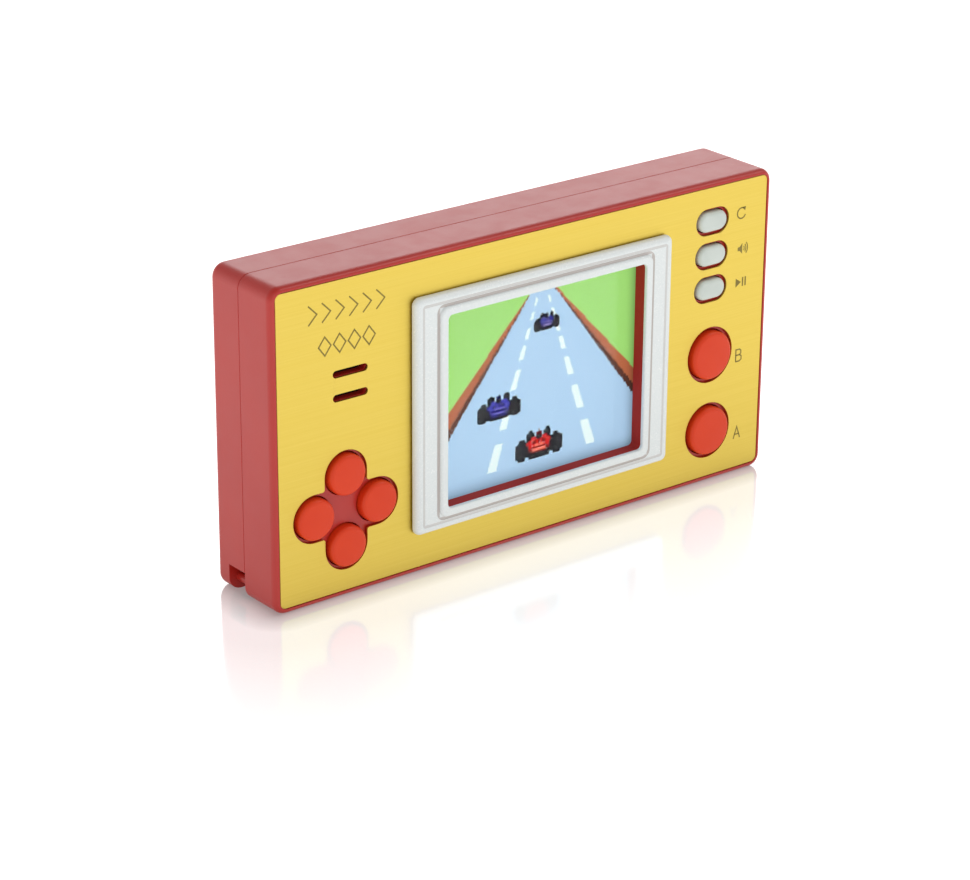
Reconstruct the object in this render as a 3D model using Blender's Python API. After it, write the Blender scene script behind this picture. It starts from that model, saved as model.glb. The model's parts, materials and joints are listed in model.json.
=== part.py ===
"""Handheld LCD game: two moulded shells, a metal front plate, a colour screen in a silver
bezel, nine push buttons on rubber keypads, a loudspeaker, a power switch and a bay for three
AAA cells behind a hinged door.

Units are metres. The game stands on its long bottom edge: +X runs along its width, -Y is its
front and +Z is up. The origin is the middle of the bottom of its bounding box. A depth is
measured backwards from the front rim of the case, so what stands proud has a negative depth.
"""

import math

import bmesh
import bpy
from mathutils import Matrix

MM = 0.001

# Case
CASE_WIDTH = 110.0 * MM
CASE_HEIGHT = 58.0 * MM
CASE_CORNER = 2.4 * MM
FRONT_FILLET = 1.3 * MM
BACK_FILLET = 0.9 * MM
WALL = 1.6 * MM
PANEL_THICKNESS = 1.5 * MM
BACK_THICKNESS = 1.4 * MM
FRONT_SHELL_DEPTH = 8.9 * MM
SEAM_GAP = 0.25 * MM
TONGUE_HEIGHT = 1.2 * MM
TONGUE_THICKNESS = 0.8 * MM
GAP = 0.3 * MM
OVERLAP = 0.5 * MM
BEYOND = 1.0 * MM

# Front plate, let into the face of the front shell
RIM = 1.4 * MM
PLATE_CORNER = 1.0 * MM
PLATE_SINK = 0.1 * MM
PLATE_THICKNESS = 0.4 * MM

# Screen: opening, collar round it, bezel over the collar, and the display module behind
SCREEN_OFFSET = 1.9 * MM
OPENING_WIDTH = 44.0 * MM
OPENING_HEIGHT = 35.2 * MM
OPENING_CORNER = 0.9 * MM
COLLAR_THICKNESS = 0.8 * MM
COLLAR_RISE = 1.3 * MM
BEZEL_SIDE = 6.5 * MM
BEZEL_TOP = 3.9 * MM
BEZEL_RISE = 1.5 * MM
LIP_RISE = 2.0 * MM
LIP_WIDTH = 1.6 * MM
PLATFORM_INSET = 2.0 * MM
BEZEL_COVER = 1.4 * MM
LEDGE = 0.4 * MM
WINDOW_BORDER = 1.4 * MM
WINDOW_THICKNESS = 0.6 * MM
GLASS_BORDER = 2.6 * MM
GLASS_BORDER_TOP = 1.8 * MM
GLASS_THICKNESS = 0.9 * MM
BACKLIGHT_THICKNESS = 0.7 * MM
LCD_FRAME_SIDE = 2.1 * MM
LCD_FRAME_TOP = 0.8 * MM
LAYER_GAP = 0.25 * MM
RIBBON_WIDTH = 16.0 * MM
RIBBON_THICKNESS = 0.2 * MM

# Buttons
TRAVEL = 0.8 * MM
FUNCTION_TRAVEL = 0.4 * MM
CAP_CLEARANCE = 0.2 * MM
FLANGE_WIDTH = 0.7 * MM
FLANGE_THICKNESS = 0.6 * MM
CAP_EDGE = 0.7 * MM
DIRECTION_FROM_LEFT = 14.8 * MM
DIRECTION_FROM_BOTTOM = 15.8 * MM
DIRECTION_RADIUS = 3.7 * MM
DIRECTION_CLEARANCE = 0.4 * MM
DIRECTION_RISE = 1.0 * MM
CLOVER_MARGIN = 0.65 * MM
ACTION_A_HEIGHT = 10.2 * MM
ACTION_PITCH = 14.75 * MM
ACTION_RADIUS = 4.6 * MM
ACTION_RISE = 1.0 * MM
ACTION_MARGIN = 0.75 * MM
ACTION_CLEARANCE = 0.5 * MM
FUNCTION_FROM_RIGHT = 14.05 * MM
FUNCTION_FROM_TOP = 7.5 * MM
FUNCTION_PITCH = 6.4 * MM
FUNCTION_LENGTH = 6.5 * MM
FUNCTION_HEIGHT = 3.7 * MM
FUNCTION_RISE = 0.45 * MM
FUNCTION_MARGIN = 0.65 * MM
KEYPAD_THICKNESS = 0.6 * MM
DOME_HEIGHT = 0.3 * MM

# Loudspeaker and its two slots
SPEAKER_FROM_LEFT = 15.9 * MM
SPEAKER_FROM_TOP = 19.6 * MM
SPEAKER_RADIUS = 10.0 * MM
MAGNET_RADIUS = 5.5 * MM
MAGNET_THICKNESS = 2.3 * MM
SLOT_LENGTH = 7.1 * MM
SLOT_HEIGHT = 1.3 * MM
SLOT_PITCH = 4.25 * MM
SPEAKER_RIB = 0.8 * MM
SPEAKER_RIB_HEIGHT = 1.7 * MM

# Circuit board
BOARD_DEPTH = 5.8 * MM
BOARD_THICKNESS = 1.0 * MM
BOARD_CLEARANCE = 0.5 * MM
BOARD_SCREW_FROM_MIDDLE = 28.0 * MM
BOARD_SCREW_FROM_TOP = 5.0 * MM

# Battery bay and its door
CELL_RADIUS = 5.1 * MM
CELL_LENGTH = 44.5 * MM
CELL_COUNT = 3
CELL_GAP = 0.35 * MM
NUB_RADIUS = 1.9 * MM
NUB_LENGTH = 1.2 * MM
CONTACT_THICKNESS = 0.4 * MM
CONTACT_SIZE = 7.2 * MM
TAB_THICKNESS = 0.6 * MM
TAB_WIDTH = 2.0 * MM
TAB_REACH = 1.2 * MM
SPRING_LENGTH = 4.2 * MM
SPRING_WIRE = 0.35 * MM
SPRING_TURNS = 3.5
BAY_WALL = 1.6 * MM
BAY_FLOOR = 0.7 * MM
DOOR_THICKNESS = 1.1 * MM
DOOR_LEDGE = 0.8 * MM
DOOR_TAB_WIDTH = 5.0 * MM
DOOR_TAB_REACH = 1.2 * MM
DOOR_TAB_THICKNESS = 0.7 * MM
DOOR_TAB_SPREAD = 9.0 * MM
SCOOP_WIDTH = 4.4 * MM
SCOOP_LENGTH = 9.0 * MM
SCOOP_DEPTH = 0.7 * MM

# Fasteners
SCREW_INSET = 5.2 * MM
SCREW_RADIUS = 1.0 * MM
SCREW_HEAD_RADIUS = 1.9 * MM
SCREW_HEAD_THICKNESS = 1.2 * MM
SCREW_SINK = 0.5 * MM
BOSS_RADIUS = 2.4 * MM
POST_RADIUS = 3.1 * MM
BOARD_SCREW_RADIUS = 0.8 * MM
BOARD_SCREW_HEAD_RADIUS = 1.7 * MM
BOARD_SCREW_HEAD_THICKNESS = 0.9 * MM
BOARD_BOSS_RADIUS = 1.9 * MM

# Power switch in the right side
SWITCH_DEPTH = 4.1 * MM
SWITCH_HEIGHT = 32.0 * MM
SWITCH_TRAVEL = 3.0 * MM
KNOB_WIDTH = 2.4 * MM
KNOB_LENGTH = 4.0 * MM
KNOB_FLANGE = 0.8 * MM
SWITCH_SETBACK = 0.5 * MM
FINGER_RECESS = 0.7 * MM
FINGER_MARGIN = 0.9 * MM
SWITCH_BODY_LENGTH = 9.0 * MM
SWITCH_BODY_WIDTH = 4.6 * MM

# Strap pocket in the bottom left corner of the rear shell
POCKET_WIDTH = 4.0 * MM
POCKET_HEIGHT = 5.0 * MM
POCKET_DEPTH = 4.6 * MM
POCKET_WALL = 1.0 * MM
STRAP_BAR_RADIUS = 0.8 * MM

# Values that follow from the ones above. The display, the cells and the door, one behind the
# other, make the depth of the case.
FACE_DEPTH = PLATE_SINK + PLATE_THICKNESS + GAP
PANEL_BACK = FACE_DEPTH + PANEL_THICKNESS
WINDOW_BACK = FACE_DEPTH + LEDGE + LAYER_GAP + WINDOW_THICKNESS
GLASS_DEPTH = WINDOW_BACK + LAYER_GAP
BACKLIGHT_DEPTH = GLASS_DEPTH + GLASS_THICKNESS + LAYER_GAP
MODULE_BACK = BACKLIGHT_DEPTH + BACKLIGHT_THICKNESS
BAY_FRONT = MODULE_BACK + LAYER_GAP
BAY_FLOOR_BACK = BAY_FRONT + BAY_FLOOR
CELL_AXIS_DEPTH = BAY_FLOOR_BACK + GAP + CELL_RADIUS
DOOR_DEPTH = CELL_AXIS_DEPTH + CELL_RADIUS + GAP
CASE_DEPTH = DOOR_DEPTH + DOOR_THICKNESS
BACK_INNER = CASE_DEPTH - BACK_THICKNESS
FRONT_Y = -(CASE_DEPTH - LIP_RISE) / 2
HALF_WIDTH = CASE_WIDTH / 2
HALF_HEIGHT = CASE_HEIGHT / 2
MIDDLE = (0.0, HALF_HEIGHT)
REAR_START = FRONT_SHELL_DEPTH + SEAM_GAP
CELL_PITCH = 2 * CELL_RADIUS + CELL_GAP
BAY_HALF_LENGTH = (CELL_LENGTH + SPRING_LENGTH + CONTACT_THICKNESS + 5 * GAP) / 2
BAY_HALF_HEIGHT = (CELL_COUNT * CELL_PITCH + CELL_GAP) / 2
SCREEN = (SCREEN_OFFSET, HALF_HEIGHT)
OPENING = (OPENING_WIDTH / 2, OPENING_HEIGHT / 2)
BEZEL = (OPENING[0] + BEZEL_SIDE, OPENING[1] + BEZEL_TOP)
PLATFORM = (BEZEL[0] - PLATFORM_INSET - GAP, BEZEL[1] - BEZEL_COVER - GAP)
GLASS = (OPENING[0] + GLASS_BORDER, OPENING[1] + GLASS_BORDER_TOP)
FLANGE_DEPTH = PANEL_BACK + GAP
FLANGE_BACK = FLANGE_DEPTH + FLANGE_THICKNESS
KEYPAD_BACK = BOARD_DEPTH - GAP
DIRECTION_SPREAD = (2 * (DIRECTION_RADIUS + FLANGE_WIDTH) + DIRECTION_CLEARANCE) / math.sqrt(2)
SPEAKER = (SPEAKER_FROM_LEFT - HALF_WIDTH, CASE_HEIGHT - SPEAKER_FROM_TOP)
SPEAKER_DEPTH = PANEL_BACK + GAP
MAGNET_DEPTH = SPEAKER_DEPTH + 1.5 * MM
DIRECTION = (DIRECTION_FROM_LEFT - HALF_WIDTH, DIRECTION_FROM_BOTTOM)
SWITCH_RIGHT = HALF_WIDTH - WALL - GAP - KNOB_FLANGE - SWITCH_SETBACK
SWITCH_LEFT = SWITCH_RIGHT - SWITCH_BODY_WIDTH
ACTION_X = SWITCH_LEFT - ACTION_CLEARANCE - FLANGE_WIDTH - ACTION_RADIUS
FUNCTION_X = HALF_WIDTH - FUNCTION_FROM_RIGHT
DIRECTION_BUTTONS = {
    "button_up": (DIRECTION[0], DIRECTION[1] + DIRECTION_SPREAD),
    "button_down": (DIRECTION[0], DIRECTION[1] - DIRECTION_SPREAD),
    "button_left": (DIRECTION[0] - DIRECTION_SPREAD, DIRECTION[1]),
    "button_right": (DIRECTION[0] + DIRECTION_SPREAD, DIRECTION[1]),
}
ACTION_BUTTONS = {
    "button_a": (ACTION_X, ACTION_A_HEIGHT),
    "button_b": (ACTION_X, ACTION_A_HEIGHT + ACTION_PITCH),
}
FUNCTION_BUTTONS = {
    name: (FUNCTION_X, CASE_HEIGHT - FUNCTION_FROM_TOP - row * FUNCTION_PITCH)
    for row, name in enumerate(("button_reset", "button_sound", "button_play"))
}
FUNCTION_HALF = (FUNCTION_LENGTH / 2, FUNCTION_HEIGHT / 2)
CASE_SCREWS = (
    (-HALF_WIDTH + SCREW_INSET, CASE_HEIGHT - SCREW_INSET),
    (HALF_WIDTH - SCREW_INSET, CASE_HEIGHT - SCREW_INSET),
    (-HALF_WIDTH + POCKET_WIDTH + POCKET_WALL + POST_RADIUS + 3 * GAP, SCREW_INSET),
    (HALF_WIDTH - SCREW_INSET, SCREW_INSET),
)
BOARD_SCREWS = tuple(
    (side * BOARD_SCREW_FROM_MIDDLE, CASE_HEIGHT - BOARD_SCREW_FROM_TOP) for side in (-1, 1)
)

# Colour, roughness and metallic value of each finish
FINISHES = {
    "red_abs": ((0.48, 0.020, 0.014), 0.32, 0.0),
    "brushed_gold": ((0.80, 0.58, 0.14), 0.38, 0.85),
    "silver_paint": ((0.72, 0.74, 0.74), 0.34, 0.35),
    "clear_window": ((0.80, 0.86, 0.90), 0.05, 0.0),
    "lcd_glass": ((0.32, 0.50, 0.66), 0.12, 0.0),
    "white_plastic": ((0.78, 0.78, 0.75), 0.45, 0.0),
    "black_plastic": ((0.03, 0.03, 0.03), 0.45, 0.0),
    "orange_caps": ((0.74, 0.080, 0.030), 0.36, 0.0),
    "grey_caps": ((0.64, 0.69, 0.65), 0.42, 0.0),
    "silicone": ((0.55, 0.55, 0.52), 0.70, 0.0),
    "board_green": ((0.03, 0.16, 0.06), 0.45, 0.0),
    "epoxy": ((0.012, 0.012, 0.014), 0.30, 0.0),
    "steel": ((0.62, 0.62, 0.60), 0.30, 1.0),
    "ferrite": ((0.07, 0.07, 0.07), 0.55, 0.3),
    "paper_cone": ((0.05, 0.05, 0.055), 0.80, 0.0),
    "amber_film": ((0.52, 0.24, 0.04), 0.40, 0.0),
    "cell_jacket": ((0.06, 0.10, 0.16), 0.35, 0.4),
    "red_wire": ((0.55, 0.02, 0.02), 0.50, 0.0),
    "black_wire": ((0.02, 0.02, 0.02), 0.50, 0.0),
}
ROUND = 6
CORNER = 4
FILLET = 3


def finish_object(form, name, place, finish, sharp=math.radians(35)):
    """Turns a bmesh into a named, shaded object at a place (x, y, z) with its own material."""
    bmesh.ops.remove_doubles(form, verts=form.verts, dist=1e-7)
    bmesh.ops.recalc_face_normals(form, faces=form.faces)
    mesh = bpy.data.meshes.new(name)
    form.to_mesh(mesh)
    form.free()
    mesh.shade_smooth()
    mesh.set_sharp_from_angle(angle=sharp)
    piece = bpy.data.objects.new(name, mesh)
    piece.location = place
    bpy.context.scene.collection.objects.link(piece)
    if finish:
        paint(piece, finish)
    return piece


def paint(piece, finish):
    colour, roughness, metallic = FINISHES[finish]
    material = bpy.data.materials.new(f"{piece.name}_{finish}")
    material.use_nodes = True
    shader = material.node_tree.nodes["Principled BSDF"]
    shader.inputs["Base Color"].default_value = (*colour, 1.0)
    shader.inputs["Roughness"].default_value = roughness
    shader.inputs["Metallic"].default_value = metallic
    piece.data.materials.append(material)


def outline(half_width, half_height, radius, steps):
    """Points round a rounded rectangle, anticlockwise, about its own middle."""
    points = []
    for quarter, (side, up) in enumerate(((1, 1), (-1, 1), (-1, -1), (1, -1))):
        for step in range(steps + 1):
            turn = math.radians(90) * (quarter + step / steps)
            u = side * (half_width - radius) + radius * math.cos(turn)
            v = up * (half_height - radius) + radius * math.sin(turn)
            points.append((u, v))
    return points


def along_axis(axis, u, v, w):
    """A section's point (u, v) at the distance w along X, Y or Z."""
    return {"X": (w, u, v), "Y": (u, w, v), "Z": (u, v, w)}[axis]


def place_at(spot, depth=0.0):
    """World position of a spot (x, z) on the face, at a depth behind the front rim."""
    return (spot[0], FRONT_Y + depth, spot[1])


def loft(name, sections, place, finish=None, axis="Y", steps=CORNER, ring=False):
    """A solid through sections (half width, half height, corner radius, distance along axis).

    With ring=True the last section joins the first, which makes a frame with a hole."""
    form = bmesh.new()
    rings = []
    for half_width, half_height, radius, distance in sections:
        points = outline(half_width, half_height, radius, steps)
        rings.append([form.verts.new(along_axis(axis, u, v, distance)) for u, v in points])
    if ring:
        rings.append(rings[0])
    for first, second in zip(rings, rings[1:]):
        for i, corner in enumerate(first):
            j = (i + 1) % len(first)
            form.faces.new((corner, first[j], second[j], second[i]))
    if not ring:
        form.faces.new(rings[0])
        form.faces.new(rings[-1])
    return finish_object(form, name, place, finish)


def turned(name, profile, place, finish=None, axis="Y", steps=ROUND, ring=False):
    """A round solid through circles (radius, distance along axis)."""
    sections = [(radius, radius, radius, distance) for radius, distance in profile]
    return loft(name, sections, place, finish, axis, steps, ring)


def prism(name, points, start, end, place, finish=None, axis="Y"):
    """A flat outline of points (u, v), pushed from start to end along an axis."""
    form = bmesh.new()
    base = form.faces.new([form.verts.new(along_axis(axis, u, v, start)) for u, v in points])
    pushed = bmesh.ops.extrude_face_region(form, geom=[base])["geom"]
    moved = [part for part in pushed if isinstance(part, bmesh.types.BMVert)]
    bmesh.ops.translate(form, verts=moved, vec=along_axis(axis, 0, 0, end - start))
    return finish_object(form, name, place, finish)


def block(name, low, high, finish=None):
    """A box between two world corners (x, depth, z)."""
    half = [(b - a) / 2 for a, b in zip(low, high)]
    middle = [(a + b) / 2 for a, b in zip(low, high)]
    form = bmesh.new()
    bmesh.ops.create_cube(form, size=2.0)
    bmesh.ops.scale(form, verts=form.verts, vec=half)
    return finish_object(form, name, place_at((middle[0], middle[2]), middle[1]), finish)


def rounded_ends(half_width, half_height, corner, start, end, fillet_start, fillet_end):
    """Sections of a block whose outer edges are filleted where it starts and where it ends."""
    sections = []
    for fillet, edge, inward in ((fillet_start, start, 1), (fillet_end, end, -1)):
        steps = FILLET if fillet else 0
        turns = [math.radians(90) * step / max(steps, 1) for step in range(steps + 1)]
        part = [
            (fillet * (1 - math.sin(turn)), edge + inward * fillet * (1 - math.cos(turn)))
            for turn in turns
        ]
        for inset, distance in part if inward == 1 else reversed(part):
            sections.append((half_width - inset, half_height - inset, corner - inset, distance))
    return sections


def change(piece, tool, operation):
    """Cuts a tool from a piece, or joins it to the piece."""
    modifier = piece.modifiers.new(tool.name, "BOOLEAN")
    modifier.operation = operation
    modifier.solver = "EXACT"
    modifier.object = tool
    tool.hide_render = True
    tool.display_type = "WIRE"


def cut(piece, *tools):
    for tool in tools:
        change(piece, tool, "DIFFERENCE")


def join(piece, *tools):
    for tool in tools:
        change(piece, tool, "UNION")


def slab(name, half, corner, start, end, spot, finish=None, steps=CORNER):
    """A rounded rectangle pushed from one depth to another. It is a piece if it has a finish."""
    return loft(name, [(*half, corner, start), (*half, corner, end)], place_at(spot), finish, steps=steps)


def pill_hole(name, spot, half, start, end, steps=ROUND):
    """A cutter with fully round ends, from one depth to another."""
    return slab(name, half, min(half), start, end, spot, steps=steps)


def round_hole(name, spot, radius, start, end, steps=ROUND):
    return pill_hole(name, spot, (radius, radius), start, end, steps)


def front_holes(prefix, direction, action, function, start, end):
    """Cutters for the nine buttons and the two slots, each grown by its own margin."""
    tools = []
    for spots, half, margin in (
        (DIRECTION_BUTTONS, (DIRECTION_RADIUS, DIRECTION_RADIUS), direction),
        (ACTION_BUTTONS, (ACTION_RADIUS, ACTION_RADIUS), action),
        (FUNCTION_BUTTONS, FUNCTION_HALF, function),
    ):
        if margin is None:
            continue
        grown = (half[0] + margin, half[1] + margin)
        for name, spot in spots.items():
            tools.append(pill_hole(f"{prefix}_{name}_hole", spot, grown, start, end))
    for row in (-0.5, 0.5):
        spot = (SPEAKER[0], SPEAKER[1] + row * SLOT_PITCH)
        half = (SLOT_LENGTH / 2, SLOT_HEIGHT / 2)
        tools.append(pill_hole(f"{prefix}_slot_{row:+.1f}", spot, half, start, end, steps=4))
    return tools


def clover(prefix, margin, start, end):
    """Two crossed pills round the four direction buttons."""
    width = DIRECTION_RADIUS + margin
    length = DIRECTION_SPREAD + DIRECTION_RADIUS + margin
    across = pill_hole(f"{prefix}_clover_across", DIRECTION, (length, width), start, end)
    upright = pill_hole(f"{prefix}_clover_upright", DIRECTION, (width, length), start, end)
    return across, upright


def switch_slot(name, half_width, half_length, start, end, height=SWITCH_HEIGHT):
    """A rounded cutter through the right side, from one x to another."""
    radius = min(half_width, half_length)
    sections = [(half_width, half_length, radius, x) for x in (start, end)]
    return loft(name, sections, (0, FRONT_Y + SWITCH_DEPTH, height), axis="X", steps=4)


def add_bosses(case, name, spots, radius, screw_radius, end):
    """Posts on the back of the panel, each with a bore for its screw."""
    for number, spot in enumerate(spots, 1):
        join(case, round_hole(f"{name}_{number}", spot, radius, PANEL_BACK - OVERLAP, end, 5))
        bore = screw_radius + GAP
        cut(case, round_hole(f"{name}_bore_{number}", spot, bore, PANEL_BACK + GAP, CASE_DEPTH, 4))


def make_front_case():
    case = loft(
        "front_case",
        rounded_ends(HALF_WIDTH, HALF_HEIGHT, CASE_CORNER, 0, FRONT_SHELL_DEPTH, FRONT_FILLET, 0),
        place_at(MIDDLE),
        "red_abs",
    )
    inside = (HALF_WIDTH - WALL, HALF_HEIGHT - WALL)
    corner = CASE_CORNER - WALL
    cut(case, slab("front_hollow", inside, corner, PANEL_BACK, CASE_DEPTH, MIDDLE))
    face = (HALF_WIDTH - RIM, HALF_HEIGHT - RIM)
    cut(case, slab("plate_recess", face, PLATE_CORNER, -BEYOND, FACE_DEPTH, MIDDLE))
    cut(case, *front_holes("case", *[CAP_CLEARANCE] * 3, -BEYOND, PANEL_BACK + BEYOND))
    collar = tuple(half + COLLAR_THICKNESS for half in OPENING)
    corner = OPENING_CORNER + COLLAR_THICKNESS
    root = PANEL_BACK - LAYER_GAP
    join(
        case,
        slab("screen_platform", PLATFORM, corner, PLATE_SINK, root, SCREEN),
        slab("screen_collar", collar, corner, -COLLAR_RISE, FACE_DEPTH + LAYER_GAP, SCREEN),
    )
    window = tuple(half + WINDOW_BORDER + GAP for half in OPENING)
    module = (GLASS[0] + LCD_FRAME_SIDE + 2 * GAP, GLASS[1] + LCD_FRAME_TOP + 2 * GAP)
    cut(
        case,
        slab("screen_opening", OPENING, OPENING_CORNER, -2 * LIP_RISE, BOARD_DEPTH, SCREEN),
        slab("window_seat", window, PLATE_CORNER, FACE_DEPTH + LEDGE, BOARD_DEPTH, SCREEN),
        slab("module_seat", module, PLATE_CORNER, WINDOW_BACK, BOARD_DEPTH, SCREEN),
    )
    rib = SPEAKER_RADIUS + GAP
    outer = rib + SPEAKER_RIB
    low, high = PANEL_BACK - OVERLAP, PANEL_BACK + SPEAKER_RIB_HEIGHT
    profile = [(rib, low), (rib, high), (outer, high), (outer, low)]
    join(case, turned("speaker_rib", profile, place_at(SPEAKER), ring=True))
    add_bosses(case, "boss", CASE_SCREWS, BOSS_RADIUS, SCREW_RADIUS, FRONT_SHELL_DEPTH - GAP)
    add_bosses(case, "board_boss", BOARD_SCREWS, BOARD_BOSS_RADIUS, BOARD_SCREW_RADIUS, KEYPAD_BACK)
    join(
        case,
        block(
            "strap_web",
            (-HALF_WIDTH + WALL / 2, FRONT_SHELL_DEPTH - POCKET_WALL, WALL / 2),
            (
                -HALF_WIDTH + POCKET_WIDTH + POCKET_WALL,
                FRONT_SHELL_DEPTH - GAP / 3,
                POCKET_HEIGHT + POCKET_WALL,
            ),
        ),
    )
    slot_half = (KNOB_LENGTH + SWITCH_TRAVEL) / 2 + GAP
    recess_half = (KNOB_WIDTH / 2 + FINGER_MARGIN, slot_half + 4 * FINGER_MARGIN)
    outside = HALF_WIDTH + BEYOND
    cut(
        case,
        switch_slot("finger_recess", *recess_half, HALF_WIDTH - FINGER_RECESS, outside),
        switch_slot("switch_slot", KNOB_WIDTH / 2 + GAP, slot_half, HALF_WIDTH - 2 * WALL, outside),
    )


def make_rear_case():
    case = loft(
        "rear_case",
        rounded_ends(HALF_WIDTH, HALF_HEIGHT, CASE_CORNER, REAR_START, CASE_DEPTH, 0, BACK_FILLET),
        place_at(MIDDLE),
        "red_abs",
    )
    corner = CASE_CORNER - WALL
    inside = (HALF_WIDTH - WALL - GAP, HALF_HEIGHT - WALL - GAP)
    hollow = tuple(size - TONGUE_THICKNESS for size in inside)
    tongue_start = FRONT_SHELL_DEPTH - TONGUE_HEIGHT
    outside = CASE_DEPTH + BEYOND
    join(case, slab("seam_tongue", inside, corner, tongue_start, REAR_START + OVERLAP, MIDDLE))
    cut(case, slab("rear_hollow", hollow, corner, tongue_start - BEYOND, BACK_INNER, MIDDLE))
    bay = (BAY_HALF_LENGTH + BAY_WALL, BAY_HALF_HEIGHT + BAY_WALL)
    join(case, slab("bay_box", bay, PLATE_CORNER, BAY_FRONT, BACK_INNER + OVERLAP, MIDDLE))
    room = (BAY_HALF_LENGTH, BAY_HALF_HEIGHT)
    ledge = (BAY_HALF_LENGTH + DOOR_LEDGE, BAY_HALF_HEIGHT + DOOR_LEDGE)
    cut(
        case,
        slab("bay_room", room, PLATE_CORNER, BAY_FLOOR_BACK, outside, MIDDLE),
        slab("door_recess", ledge, PLATE_CORNER, DOOR_DEPTH - GAP, outside, MIDDLE),
    )
    bore, seat = SCREW_RADIUS + GAP, SCREW_HEAD_RADIUS + GAP
    head_front = CASE_DEPTH - SCREW_SINK - SCREW_HEAD_THICKNESS - GAP
    room_end = REAR_START - GAP / 3
    for number, spot in enumerate(CASE_SCREWS, 1):
        join(case, round_hole(f"post_{number}", spot, POST_RADIUS, REAR_START, BACK_INNER + OVERLAP, 5))
        cut(
            case,
            round_hole(f"post_bore_{number}", spot, bore, BOARD_DEPTH, outside, 4),
            round_hole(f"head_seat_{number}", spot, seat, head_front, outside, 5),
            round_hole(f"tongue_room_{number}", spot, BOSS_RADIUS + GAP, BOARD_DEPTH, room_end, 5),
        )
    left = -HALF_WIDTH
    pocket_back = REAR_START + POCKET_DEPTH
    join(
        case,
        block(
            "pocket_box",
            (left + WALL / 2, REAR_START, WALL / 2),
            (left + POCKET_WIDTH + POCKET_WALL, pocket_back + POCKET_WALL, POCKET_HEIGHT + POCKET_WALL),
        ),
    )
    cut(
        case,
        block(
            "strap_pocket",
            (left - BEYOND, tongue_start - BEYOND, -BEYOND),
            (left + POCKET_WIDTH, pocket_back, POCKET_HEIGHT),
        ),
        block(
            "web_room",
            (left - BEYOND, tongue_start - BEYOND, -BEYOND),
            (left + POCKET_WIDTH + POCKET_WALL + GAP, REAR_START, POCKET_HEIGHT + POCKET_WALL + GAP),
        ),
    )
    spot = (left + POCKET_WIDTH * 0.55, POCKET_HEIGHT * 0.45)
    start, end = REAR_START + GAP, pocket_back + OVERLAP
    join(case, round_hole("strap_bar", spot, STRAP_BAR_RADIUS, start, end, 3))
    for number, side in enumerate((-1, 1), 1):
        half = DOOR_TAB_WIDTH / 2 + GAP
        z = HALF_HEIGHT + side * DOOR_TAB_SPREAD
        slot_front = BACK_INNER - DOOR_TAB_THICKNESS - 3 * GAP
        low = (-bay[0] - BEYOND, slot_front, z - half)
        high = (-room[0] + BEYOND, BACK_INNER, z + half)
        cut(case, block(f"tab_slot_{number}", low, high))
    scoop = (SCOOP_WIDTH / 2, SCOOP_LENGTH / 2)
    spot = (ledge[0], HALF_HEIGHT)
    cut(case, pill_hole("finger_scoop", spot, scoop, CASE_DEPTH - SCOOP_DEPTH, outside, 4))
    for side, number in ((-1, 1), (1, 3)):
        middle = side * (BAY_HALF_LENGTH + BAY_WALL / 2)
        half = (BAY_WALL, TAB_THICKNESS / 2 + GAP, TAB_WIDTH / 2 + GAP)
        spot = (middle, CELL_AXIS_DEPTH, cell_height(number))
        low = tuple(value - size for value, size in zip(spot, half))
        high = tuple(value + size for value, size in zip(spot, half))
        cut(case, block(f"contact_slot_{number}", low, high))


def make_front_plate():
    face = (HALF_WIDTH - RIM - GAP, HALF_HEIGHT - RIM - GAP)
    back = PLATE_SINK + PLATE_THICKNESS
    plate = slab("front_plate", face, PLATE_CORNER - GAP, PLATE_SINK, back, MIDDLE, "brushed_gold")
    cut(plate, *clover("plate", CLOVER_MARGIN, -BEYOND, BEYOND))
    cut(plate, *front_holes("plate", None, ACTION_MARGIN, FUNCTION_MARGIN, -BEYOND, BEYOND))
    hole = tuple(half + GAP for half in PLATFORM)
    cut(plate, slab("bezel_hole", hole, PLATE_CORNER, -BEYOND, BEYOND, SCREEN))


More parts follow.
